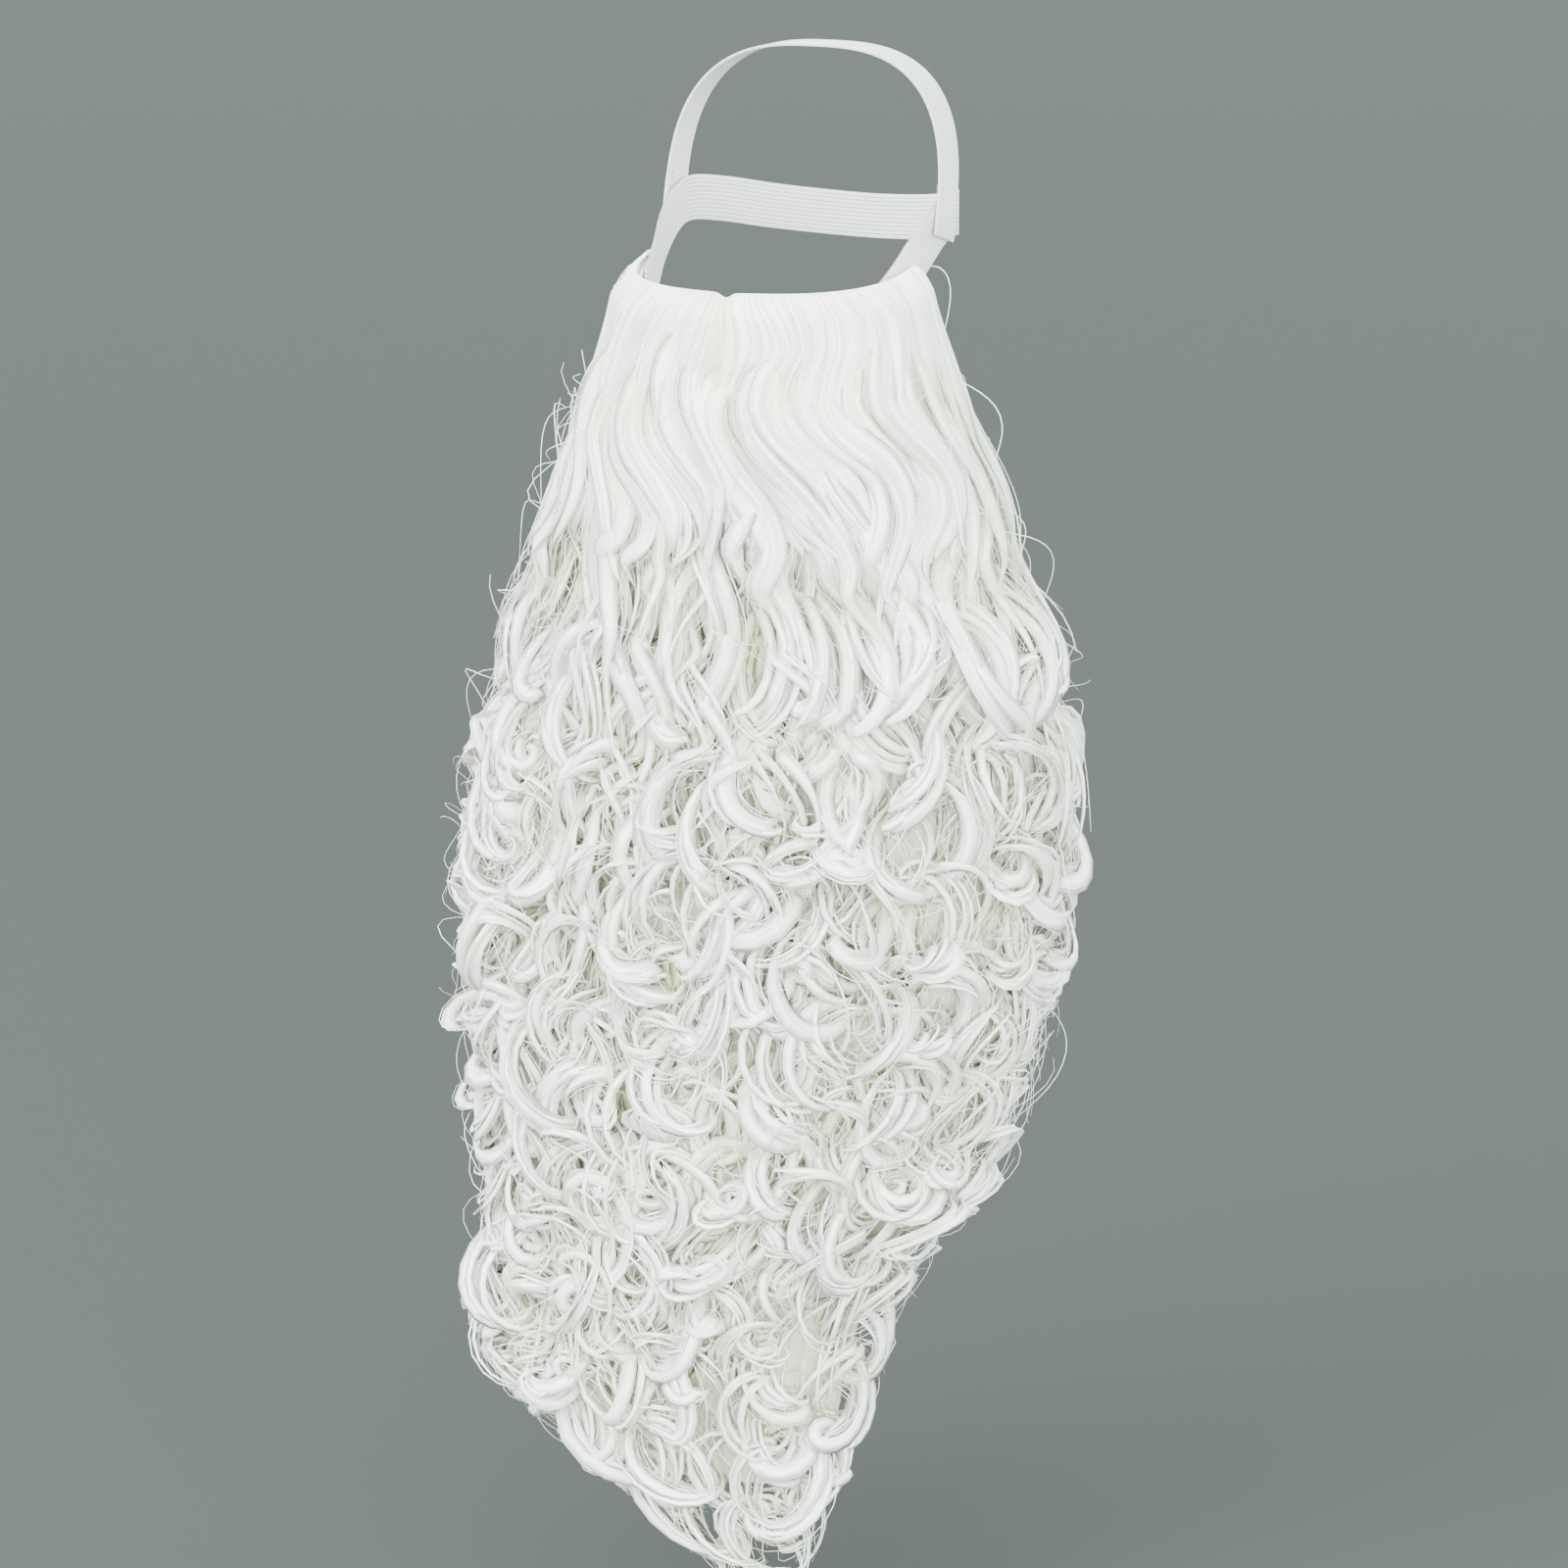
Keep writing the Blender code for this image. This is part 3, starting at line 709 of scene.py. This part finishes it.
def brushed_sheet(name, first, last, columns, lift):
    """The hair of several waves as one thin body: soft broad locks, with finer ones over them."""
    def place(along, across):
        wave = first + (last - first) * along
        parted = math.exp(-((wave - PARTING_WAVE) / PARTING_WIDTH) ** 2)
        top = SHEET_TOP + PARTING_NOTCH * parted ** 0.15
        drop = top + (SHEET_END - top) * (1 - across)
        below = drop - top
        spread = min(below / 0.05, 1.0)
        broad, fine, finest = (
            height * math.sin(math.tau * often * wave + sway * math.sin(turn * drop + shift * wave))
            for often, sway, turn, shift, height in SHEET_RIPPLES
        )
        relief = spread * (broad + fine) + min(below / 0.01, 1.0) * finest
        rise = SHEET_ROOT_LIFT + (lift - SHEET_ROOT_LIFT) * math.sqrt(min(below / SHEET_ROLL, 1.0))
        ending = float(ease((drop - SHEET_TUCK_DROP) / (SHEET_END - SHEET_TUCK_DROP)))
        relief *= 1 - ending
        sink = (lift + BED_SINK + BED_THICKNESS / 2) * ending
        sink += PARTING_DEPTH * parted * min(max(below - 0.004, 0.0) / 0.010, 1.0) * (1 - ending)
        side = wave_across(np.array(wave), np.array(drop))
        return Vector(form_point(OUTER, side, np.array(drop), np.array(rise + relief - sink)))

    sheet = cloth_grid(
        name, columns, SHEET_STEPS_DOWN, place, WAVE_WIDTH * (last - first), SHEET_END - SHEET_TOP
    )
    sheet.data.uv_layers[0].name = "fibre"
    give_wall(sheet, -SHEET_THICKNESS, SHEET_EDGE, even=False)
    # Painted shade: a little over the whole sheet, more low down where it tucks under the curls, and
    # more in the parting.
    drops = np.array([-CROWN_TO_LIP - vertex.co.z for vertex in sheet.data.vertices])
    parts = np.array([abs(vertex.co.x - PARTING_X) for vertex in sheet.data.vertices])
    tucked_shade = np.clip((drops - 0.09) / 0.06, 0, 1)
    paint_shade_by_depth(sheet.data, 0.1 + 0.6 * tucked_shade + 0.6 * np.exp(-(parts / PARTING_SHADE) ** 2))
    sheet.data.materials.append(FIBRE)
    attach(sheet, "root")
    return sheet


def facing(paths, outward, twist):
    """Directions across each band and through it. The flat side is turned to face outwards."""
    tangents = unit(np.gradient(paths, axis=1))
    through = np.empty_like(paths)
    now = outward[:, 0]
    for step in range(paths.shape[1]):
        now = now + 0.25 * outward[:, step]
        tangent = tangents[:, step]
        now = unit(now - (now * tangent).sum(-1, keepdims=True) * tangent)
        through[:, step] = now
    wide = np.cross(through, tangents)
    turned = through * np.cos(twist) + wide * np.sin(twist)
    return np.cross(turned, tangents), turned


def band_arrays(paths, wide, through, half_wide, half_thick, sides, depth, chance):
    """Closed tapering tubes with flattened sides, as vertices, faces, UVs in metres and depths of
    painted shade.
    """
    count, rings = paths.shape[:2]
    angles = np.arange(sides) * 2 * np.pi / sides
    points = (
        paths[:, :, None]
        + wide[:, :, None] * (half_wide[..., None] * np.cos(angles))[..., None]
        + through[:, :, None] * (half_thick[..., None] * np.sin(angles))[..., None]
    )
    index = np.arange(count * rings * sides).reshape(count, rings, sides)
    after = np.roll(index, -1, axis=2)
    quads = np.stack([index[:, :-1], after[:, :-1], after[:, 1:], index[:, 1:]], axis=-1)
    steps = np.linalg.norm(np.diff(paths, axis=1), axis=-1)
    lengths = np.concatenate([np.zeros((count, 1)), np.cumsum(steps, axis=1)], axis=1)
    lengths += chance.uniform(0, 9, (count, 1))
    girth = (half_wide.max(axis=1) + half_thick.max(axis=1))[:, None] * 2
    start = chance.uniform(0, 9, (count, 1))
    turn = np.arange(sides) / sides
    shape = (count, rings - 1, sides)
    left = np.broadcast_to((start + girth * turn)[:, None], shape)
    right = np.broadcast_to((start + girth * (turn + 1 / sides))[:, None], shape)
    above = np.broadcast_to(lengths[:, :-1, None], left.shape)
    below = np.broadcast_to(lengths[:, 1:, None], left.shape)
    quad_uv = np.stack([
        np.stack([left, above], -1), np.stack([right, above], -1),
        np.stack([right, below], -1), np.stack([left, below], -1),
    ], axis=3).reshape(-1, 2)
    caps = np.concatenate([index[:, 0, ::-1], index[:, -1]])
    cap_uv = np.repeat(np.concatenate([
        np.stack([start[:, 0], lengths[:, 0]], -1), np.stack([start[:, 0], lengths[:, -1]], -1)
    ]), sides, axis=0)
    deep = np.repeat(depth.reshape(-1), sides)
    return points.reshape(-1, 3), quads.reshape(-1, 4), quad_uv, caps, cap_uv, deep


def hair_piece(name, families):
    """One mesh from several families of bands, smooth, with its UV map and its depth of painted shade.
    """
    points, corners, totals, uvs, deep = [], [], [], [], []
    base = 0
    for vertices, quads, quad_uv, caps, cap_uv, depth in families:
        points.append(vertices)
        corners += [(quads + base).reshape(-1), (caps + base).reshape(-1)]
        totals += [np.full(len(quads), 4), np.full(len(caps), caps.shape[1])]
        uvs += [quad_uv, cap_uv]
        deep.append(depth)
        base += len(vertices)
    points, corners, totals, uvs, deep = map(np.concatenate, (points, corners, totals, uvs, deep))
    mesh = bpy.data.meshes.new(name)
    mesh.vertices.add(len(points))
    mesh.vertices.foreach_set("co", points.astype(np.float32).reshape(-1))
    mesh.loops.add(len(corners))
    mesh.loops.foreach_set("vertex_index", corners.astype(np.int32))
    mesh.polygons.add(len(totals))
    mesh.polygons.foreach_set("loop_start", (np.cumsum(totals) - totals).astype(np.int32))
    mesh.update(calc_edges=True)
    mesh.uv_layers.new(name="fibre")
    mesh.uv_layers["fibre"].data.foreach_set("uv", uvs.astype(np.float32).reshape(-1))
    paint_shade_by_depth(mesh, deep)
    mesh.polygons.foreach_set("use_smooth", np.ones(len(totals), dtype=bool))
    mesh.validate()
    piece = bpy.data.objects.new(name, mesh)
    scene.collection.objects.link(piece)
    mesh.materials.append(FIBRE)
    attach(piece, "root")
    return piece


def taper(share, root, tip):
    """Thickness along a band, thin at its root, full in its length and drawn out at its tip."""
    grown = root + (1 - root) * np.clip(share * 5, 0, 1)
    return grown * (1 - (1 - tip) * share ** 2)


def around_band(paths, curls, wide, through, half_wide, half_thick, strands, loose, chance):
    """Single fibres that follow each band, most of them close to its face and a few loose."""
    count, rings = paths.shape[:2]
    share = np.linspace(0, 1, rings)[None, None]
    turn = chance.uniform(-0.2, 1.2, (count, strands, 1)) * np.pi
    off = chance.uniform(0.9, 1.25, (count, strands, 1))
    stray = chance.normal(0, loose, (count, strands, 1))
    spread = 1 + 0.9 * share ** 2
    across = (np.cos(turn) * off * spread + stray * share)[..., None] * half_wide[:, None, :, None]
    above = (np.sin(turn) * off + 0.4 * stray * share)[..., None] * half_thick[:, None, :, None]
    grow = (chance.normal(0, 0.05, (count, strands, 1)) + 0.10 * stray)[..., None] * share[..., None]
    lines = (
        paths[:, None] + curls[:, None] * grow + wide[:, None] * across + through[:, None] * above
    )
    keep = chance.uniform(0.8, 1.0, (count, strands, 1)) * (rings - 1)
    at = np.clip(share * keep, 0, rings - 1.0001)
    low = at.astype(int)
    part = (at - low)[..., None]
    low = np.broadcast_to(low, (count, strands, rings))[..., None]
    first = np.take_along_axis(lines, low, axis=2)
    second = np.take_along_axis(lines, low + 1, axis=2)
    return (first * (1 - part) + second * part).reshape(count * strands, rings, 3)


BAND_FLATNESS = (0.09, 0.15)
BAND_LEAST_THICKNESS = 0.0002
DEPTH_OF_CURLS = 0.024


# Painted shade from a height over the form: half at its face, full 12 mm below, none 12 mm above.
def shade_by_depth(heights):
    return np.clip(0.5 - heights / DEPTH_OF_CURLS, 0, 1)


def hair_families(paths, curls, outward, heights, half_wide, sides, strands, strand_half, loose, chance):
    """Bands with the fibres round them, ready for hair_piece."""
    count, rings = paths.shape[:2]
    share = np.linspace(0, 1, rings)[None]
    twist = chance.normal(0, 0.3, (count, 1, 1))
    twist = twist + chance.normal(0, 0.5, (count, 1, 1)) * share[..., None]
    wide, through = facing(paths, outward, twist)
    half = half_wide * taper(share, 0.12, 0.05)
    thick = half * chance.uniform(*BAND_FLATNESS, (count, 1)) + BAND_LEAST_THICKNESS
    # Painted shade, deeper for band parts that lie low between the curls.
    depth = shade_by_depth(heights)
    bands = band_arrays(paths, wide, through, half, thick, sides, depth, chance)
    if not strands:
        return [bands]
    lines = around_band(paths, curls, wide, through, half, thick, strands, loose, chance)
    facing_out = np.repeat(outward, strands, axis=0)
    line_wide, line_through = facing(lines, facing_out, chance.uniform(-1, 1, (len(lines), 1, 1)))
    fine = strand_half * chance.uniform(0.7, 1.3, (len(lines), 1)) * taper(share, 0.7, 0.25)
    deep = np.repeat(depth, strands, axis=0)
    return [bands, band_arrays(lines, line_wide, line_through, fine, fine * 0.8, 3, deep, chance)]


CURLS = (
    # drop below the lip line, radius of the curl there, length of one turn
    (0.000, 0.000, 0.120),
    (0.040, 0.004, 0.115),
    (0.100, 0.008, 0.110),
    (0.160, 0.0105, 0.095),
    (0.205, 0.0130, 0.072),
    (0.260, 0.0155, 0.054),
    (0.330, 0.0165, 0.046),
    (0.420, 0.0170, 0.042),
    (0.700, 0.0160, 0.039),
)
CURL_DROPS, CURL_RADII, CURL_PITCHES = np.array(CURLS).T
LONGEST_HAIR = 0.76


def curl_radius(drop):
    return np.interp(drop, CURL_DROPS, CURL_RADII)


def curl_turns(drop):
    """Turns that a curl has made from the lip line down to a drop."""
    fine = np.arange(0, LONGEST_HAIR, TABLE_STEP)
    pitch = np.interp(fine, CURL_DROPS, CURL_PITCHES)
    return np.interp(drop, fine, np.cumsum(TABLE_STEP / pitch))


def ring_offsets(radius, angle, hand, lean, tilt, side, out, down):
    """Offsets and heights round a curl whose plane leans down the hair and tilts sideways."""
    first = np.cos(tilt)[..., None] * side + np.sin(tilt)[..., None] * out
    across = np.cos(tilt)[..., None] * out - np.sin(tilt)[..., None] * side
    second = np.cos(lean)[..., None] * across + np.sin(lean)[..., None] * down
    around, away = hand * np.sin(angle), np.cos(angle)
    offsets = radius[..., None] * (around[..., None] * first + away[..., None] * second)
    return offsets, radius * (around * np.sin(tilt) + away * np.cos(lean) * np.cos(tilt))


def brushed_hair(first, last, count, layer, half_wide, strands, chance, rings=34):
    """Locks that come out of a brushed sheet, follow its waves and curl at their ends."""
    wave = np.linspace(first, last, count)[:, None] + chance.uniform(-0.08, 0.08, (count, 1))
    share = np.linspace(0, 1, rings)[None]
    start = chance.uniform(*LOCK_START, (count, 1))
    length = chance.uniform(*LOCK_LENGTH, (count, 1))
    drop = start + share * length
    own = wave + LOCK_WANDER * chance.normal(0, 1, (count, 1)) * share ** 2
    turn = 2 * np.pi * drop / LOCK_RIPPLE_LENGTH + chance.uniform(0, 6.3, (count, 1))
    ripple = LOCK_RIPPLE * np.sin(turn) * share
    across = wave_across(own, drop) + ripple
    rise = ease(share * 3)
    lift = 0.002 + (layer - 0.002 + 0.002 * chance.normal(0, 0.5, (count, 1))) * rise + 0.004 * share
    here, side, out, down = form_frame(OUTER, across, drop, lift)
    settle = ease((drop - LOCK_CURL_DROP) / 0.07)
    radius = curl_radius(drop) * settle * chance.uniform(0.6, 1.1, (count, 1))
    angle = chance.uniform(-0.8, 0.8, (count, 1)) + 2 * np.pi * curl_turns(drop)
    hand = chance.choice([-1.0, 1.0], (count, 1))
    lean, tilt = chance.uniform(0.8, 1.4, (count, 1)), chance.normal(0, 0.3, (count, 1))
    curls, height = ring_offsets(radius, angle, hand, lean, tilt, side, out, down)
    half = half_wide * (1 + 0.3 * share) * chance.uniform(0.6, 1.25, (count, 1))
    # Heights over the form, which set the locks' painted shade.
    heights = lift + height + SHEET_ROOT_LIFT
    return hair_families(
        here + curls, curls, out, heights, half, sides=6, strands=strands,
        strand_half=LOCK_STRAND_HALF, loose=0.6, chance=chance,
    )


def single_fibres(first, last, count, chance):
    """Fine single fibres that lie on the brushed sheet and follow its waves."""
    rings = 22
    share = np.linspace(0, 1, rings)[None]
    wave = chance.uniform(first, last, (count, 1)) + chance.normal(0, 0.10, (count, 1)) * share
    root = chance.uniform(SHEET_TOP, 0.05, (count, 1))
    drop = root + chance.uniform(0.05, 0.15, (count, 1)) * share
    roll = np.sqrt(np.clip((drop - SHEET_TOP) / SHEET_ROLL, 0, 1))
    above = 0.0005 - SHEET_ROOT_LIFT + chance.uniform(0, 0.0025, (count, 1)) * share
    lift = SHEET_ROOT_LIFT + (SHEET_LIFT + above) * roll
    here, _, out, _ = form_frame(OUTER, wave_across(wave, drop), drop, lift)
    wide, through = facing(here, out, chance.uniform(-1, 1, (count, 1, 1)))
    fine = chance.uniform(*FIBRE_HALF, (count, 1)) * taper(share, 0.7, 0.3)
    return [band_arrays(here, wide, through, fine, fine, 3, np.zeros((count, rings)), chance)]


chance = np.random.default_rng(7)
for hand, first, last in (("left", PARTING_WAVE, 9.3), ("right", 1.1, PARTING_WAVE)):
    families = single_fibres(first, last, TOP_SINGLES, chance)
    for layer, bands, half_wide, strands in TOP_LAYERS:
        families += brushed_hair(first, last, bands, layer, half_wide, strands, chance)
    locks = hair_piece("moustache_locks_" + hand, families)
    sheet = brushed_sheet("moustache_hair_" + hand, first, last, 72, SHEET_LIFT)
    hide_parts("moustache_" + hand)
    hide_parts("moustache_" + hand)


# Cheek and chin hair
#
# Bundles of the same fibre sewn to the sides of the backing and under the moustache. They hang in
# loose waves that grow wider towards their ends, over the top of the long fall.

TIER_SPREAD = 0.018
BAND_SPREAD = 0.006
CURL_LEAN = (0.65, 1.45)
CURL_SIZE = (0.72, 1.25)
CURL_LIFT = (-0.004, 0.006)
CURL_ROOT_LIFT = -0.008
CURL_DRIFT = 0.05
NARROWEST_BAND = 0.36
BAND_RANGE = 1.05
BAND_CHANCE = 1.35
STRAND_HALF = 0.00038


def curled_hair(form, table, chance, bands_each=4, strands=1, turn_steps=11, facing_in=False):
    """Families of bands that curl on their way down. Rows give where each tier of them is rooted."""
    families = []
    for drop, clusters, first, last, length, lift, half_wide in table:
        centre = np.linspace(-1, 1, clusters) + chance.uniform(-1, 1, clusters) / clusters
        centre = (first + last) / 2 + (last - first) / 2 * centre * (0.70 + 0.30 * centre ** 2)
        centre = np.repeat(centre, bands_each)[:, None]
        count = len(centre)

        def each(values):
            return np.repeat(values, bands_each)[:, None]

        root = drop + each(chance.uniform(-TIER_SPREAD, TIER_SPREAD, clusters))
        root += chance.uniform(-BAND_SPREAD, BAND_SPREAD, (count, 1))
        reach = length * each(chance.uniform(0.85, 1.12, clusters))
        reach *= chance.uniform(0.9, 1.05, (count, 1))
        hand = each(chance.choice([-1.0, 1.0], clusters))
        lean = each(chance.uniform(*CURL_LEAN, clusters) * chance.choice([-1.0, 1.0], clusters))
        lean += chance.normal(0, 0.12, (count, 1))
        tilt = each(chance.normal(0, 0.5, clusters)) + chance.normal(0, 0.1, (count, 1))
        scatter = np.clip((drop - 0.05) / 0.2, 0, 1)
        phase = each(chance.uniform(-1, 1, clusters)) * (0.6 + scatter * 2.6)
        phase += chance.normal(0, 0.35, (count, 1))
        size = each(chance.uniform(*CURL_SIZE, clusters)) * chance.normal(1, 0.10, (count, 1))
        high = each(chance.uniform(*CURL_LIFT, clusters)) + chance.normal(0, 0.002, (count, 1))
        drift = each(chance.normal(0, CURL_DRIFT, clusters)) + chance.normal(0, 0.02, (count, 1))
        turns = curl_turns(drop + length) - curl_turns(drop)
        rings = max(20, int(turn_steps * turns) + 6)
        share = np.linspace(0, 1, rings)[None]
        down_to = root + share * reach
        across = centre + chance.normal(0, 0.02, (count, 1)) + drift * share
        settle = ease(share * 3.5)
        radius = size * curl_radius(down_to) * settle * (1 - 0.35 * share ** 3)
        angle = phase + 2 * np.pi * curl_turns(down_to)
        rise = CURL_ROOT_LIFT + (lift + high - CURL_ROOT_LIFT) * settle
        here, side, out, down = form_frame(form, across, down_to, rise)
        if facing_in:
            out = -out
        curls, height = ring_offsets(radius, angle, hand, lean, tilt, side, out, down)
        half = NARROWEST_BAND + BAND_RANGE * chance.uniform(0, 1, (count, 1)) ** BAND_CHANCE
        half = half_wide * half * np.ones_like(share)
        families += hair_families(
            here + curls, curls, out, rise + height, half, sides=4, strands=strands,
            strand_half=STRAND_HALF, loose=1.0, chance=chance,
        )
    return families


CHEEK_TIERS = (
    # drop, clusters, first and last place across, length, lift, half width of a band
    (0.030, 9, -1.02, 1.02, 0.200, 0.001, 0.0068),
    (0.070, 11, -1.02, 1.02, 0.190, 0.002, 0.0066),
    (0.105, 13, -1.02, 1.02, 0.180, 0.003, 0.0062),
)
CHEEK_LAYER = (8, 0.008, 0.0055, 7)  # bands, lift, half width, single fibres to a band
CHEEK_SINGLES = 40

chance = np.random.default_rng(11)
families = []
for hand, first, last in (("left", 9.2, 10.5), ("right", -0.6, 1.2)):
    sheet = brushed_sheet("cheek_hair_" + hand, first, last, 24, SHEET_LIFT - 0.001)
    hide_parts("beard_upper")
    families += single_fibres(first, last, CHEEK_SINGLES, chance)
    families += brushed_hair(first, last, *CHEEK_LAYER, chance, rings=32)
families += curled_hair(OUTER, CHEEK_TIERS, chance)
cheek_curls = hair_piece("cheek_curls", families)
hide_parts("beard_upper")


# Long fall of curls
#
# The free length of the beard: bundles of heat-set fibre in rings and corkscrews about 35 mm
# across. They were set on rods and pulled apart by hand, so neighbours lie over one another.

FALL_UPPER_TIERS = (
    # drop, clusters, first and last place across, length, lift, half width of a band
    (0.140, 14, -1.04, 1.04, 0.165, 0.003, 0.0060),
    (0.175, 15, -1.04, 1.04, 0.150, 0.003, 0.0058),
    (0.210, 16, -1.05, 1.05, 0.140, 0.004, 0.0056),
    (0.245, 16, -1.05, 1.05, 0.135, 0.004, 0.0054),
)
FALL_MIDDLE_TIERS = (
    (0.280, 17, -1.06, 1.06, 0.130, 0.004, 0.0052),
    (0.315, 17, -1.06, 1.06, 0.130, 0.004, 0.0052),
    (0.350, 16, -1.05, 1.05, 0.125, 0.004, 0.0050),
    (0.385, 16, -1.04, 1.04, 0.125, 0.004, 0.0050),
)
FALL_LOWER_TIERS = (
    (0.420, 15, -1.04, 1.02, 0.120, 0.004, 0.0048),
    (0.455, 14, -1.04, 0.98, 0.120, 0.004, 0.0048),
    (0.490, 13, -1.04, 0.92, 0.115, 0.004, 0.0046),
    (0.525, 11, -1.02, 0.90, 0.110, 0.004, 0.0046),
    (0.560, 9, -1.00, 0.90, 0.105, 0.004, 0.0044),
    (0.590, 7, -0.90, 0.90, 0.095, 0.003, 0.0042),
    (0.615, 5, -0.70, 0.90, 0.080, 0.002, 0.0040),
)

chance = np.random.default_rng(23)
for part, tiers in (
    ("upper", FALL_UPPER_TIERS), ("middle", FALL_MIDDLE_TIERS), ("lower", FALL_LOWER_TIERS)
):
    fall_curls = hair_piece("fall_hair_" + part, curled_hair(OUTER, tiers, chance))
    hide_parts("beard_lower")


# Inner curls
#
# Shorter bundles of the same fibre on the side that lies against the chest. They are the ends of
# the innermost sewn rows.

INNER_TIERS = (
    # drop, clusters, first and last place across, length, lift, half width of a band
    (0.085, 13, -1.00, 1.00, 0.160, -0.002, 0.0062),
    (0.130, 15, -1.00, 1.00, 0.160, -0.002, 0.0062),
    (0.180, 16, -1.00, 1.00, 0.150, -0.002, 0.0060),
    (0.230, 17, -1.00, 1.00, 0.145, -0.002, 0.0060),
    (0.280, 17, -1.00, 1.00, 0.140, -0.002, 0.0058),
    (0.330, 16, -1.00, 1.00, 0.135, -0.002, 0.0058),
    (0.380, 14, -1.00, 1.00, 0.130, -0.002, 0.0056),
    (0.430, 12, -1.00, 1.00, 0.125, -0.002, 0.0054),
    (0.480, 10, -1.00, 1.00, 0.120, -0.002, 0.0052),
    (0.530, 8, -0.95, 0.95, 0.110, -0.002, 0.0050),
)

chance = np.random.default_rng(31)
hair_piece(
    "inner_curls", curled_hair(INNER, INNER_TIERS, chance, bands_each=3, strands=0, facing_in=True)
)


# Loose fibres
#
# Single fibres that have worked out of their bundles. They cross the gaps between the curls in
# every direction, and some stand off the outline as fuzz.

LOOSE_RINGS = 21
LOOSE_LENGTH = (0.03, 0.12)
LOOSE_RADIUS = (0.003, 0.018)
LOOSE_TURNS = (0.6, 1.9)
LOOSE_HALF = (0.00016, 0.00034)
LOOSE_TABLE = (
    # count, first drop, last drop, lowest lift, highest lift, radius share
    (260, 0.10, 0.36, -0.004, 0.012, 1.0),
    (290, 0.34, 0.60, -0.004, 0.012, 1.0),
    (320, 0.03, 0.55, 0.004, 0.017, 1.3),
    (150, 0.00, 0.42, 0.007, 0.018, 1.1),
)


def loose_fibres(table, chance):
    """Families of single fibres, each in its own wave or ring."""
    families = []
    for count, first, last, low, high, size in table:
        share = np.linspace(0, 1, LOOSE_RINGS)[None]
        root = chance.uniform(first, last, (count, 1))
        drop = root + chance.uniform(*LOOSE_LENGTH, (count, 1)) * share
        across = chance.uniform(-1.05, 1.05, (count, 1))
        across = across + chance.normal(0, 0.10, (count, 1)) * share
        lift = chance.uniform(low, high, (count, 1))
        lift = lift + chance.uniform(-0.004, 0.006, (count, 1)) * share
        here, side, out, down = form_frame(OUTER, across, drop, lift)
        radius = size * chance.uniform(*LOOSE_RADIUS, (count, 1)) * (1 - 0.4 * share)
        turns = chance.uniform(*LOOSE_TURNS, (count, 1))
        angle = chance.uniform(0, 6.3, (count, 1)) + 2 * np.pi * turns * share
        hand = chance.choice([-1.0, 1.0], (count, 1))
        lean, tilt = chance.uniform(-1.5, 1.5, (count, 1)), chance.normal(0, 0.5, (count, 1))
        curls, height = ring_offsets(radius, angle, hand, lean, tilt, side, out, down)
        lines = here + curls
        wide, through = facing(lines, out, chance.uniform(-1, 1, (count, 1, 1)))
        fine = chance.uniform(*LOOSE_HALF, (count, 1)) * taper(share, 0.6, 0.3)
        # Painted shade, deeper for fibre parts that lie low between the curls.
        depth = shade_by_depth(lift + height)
        families.append(band_arrays(lines, wide, through, fine, fine, 3, depth, chance))
    return families


chance = np.random.default_rng(43)
hair_piece("loose_fibres", loose_fibres(LOOSE_TABLE, chance))


# Studio
#
# A plain grey floor and soft light from large lamps and the open air, with the camera at the
# photograph's angle.

FLOOR_LEVEL = -0.862
FLOOR_SIZE = 60
FLOOR_COLOUR = (0.0355, 0.041, 0.0385, 1)
AIR_COLOUR = (0.93, 1.0, 0.965, 1)
AIR_STRENGTH = 4.7

bpy.ops.mesh.primitive_plane_add(size=FLOOR_SIZE, location=(0, 0, FLOOR_LEVEL))
floor = bpy.context.object
floor.name = "studio_floor"
paper, _, shader = new_material("studio_paper")
set_inputs(shader, {"Base Color": FLOOR_COLOUR, "Roughness": 1.0, "Specular IOR Level": 0.1})
floor.data.materials.append(paper)

world = bpy.data.worlds.new("studio_air")
scene.world = world
world.use_nodes = True
air = world.node_tree.nodes["Background"]
set_inputs(air, {"Color": AIR_COLOUR, "Strength": AIR_STRENGTH})

LAMP_AIM = Vector((0, -0.08, -0.35))
LAMPS = (
    # name, place, width in metres, power in watts
    ("key_lamp", (-1.6, -3.2, 1.7), 2.2, 275.0),
    ("fill_lamp", (3.0, -2.6, 0.4), 3.0, 135.0),
    ("top_lamp", (0.2, 0.6, 2.6), 2.2, 20.0),
    ("low_lamp", (1.0, -2.6, -0.5), 2.2, 165.0),
)
for name, spot, size, power in LAMPS:
    lamp = bpy.data.lights.new(name, "AREA")
    lamp.size = size
    lamp.energy = power
    holder = bpy.data.objects.new(name, lamp)
    scene.collection.objects.link(holder)
    holder.location = spot
    holder.rotation_euler = (LAMP_AIM - Vector(spot)).to_track_quat("-Z", "Y").to_euler()

CAMERA_DISTANCE = 2.9
CAMERA_HEIGHT = 0.2905
CAMERA_TURN = math.radians(25)
CAMERA_TURN_Y = -0.028
CAMERA_TILT = math.radians(13.5)
CAMERA_LENS = 123.5
CAMERA_SHIFT = -17 / 1600
camera = bpy.data.objects.new("camera", bpy.data.cameras.new("camera"))
scene.collection.objects.link(camera)
camera.location = (
    CAMERA_DISTANCE * math.sin(CAMERA_TURN),
    CAMERA_TURN_Y - CAMERA_DISTANCE * math.cos(CAMERA_TURN),
    CAMERA_HEIGHT,
)
camera.rotation_euler = (math.pi / 2 - CAMERA_TILT, 0, CAMERA_TURN)
camera.data.sensor_width = 36
camera.data.lens = CAMERA_LENS
camera.data.shift_x = CAMERA_SHIFT
camera.data.clip_end = 200
scene.camera = camera
scene.view_settings.view_transform = "AgX"
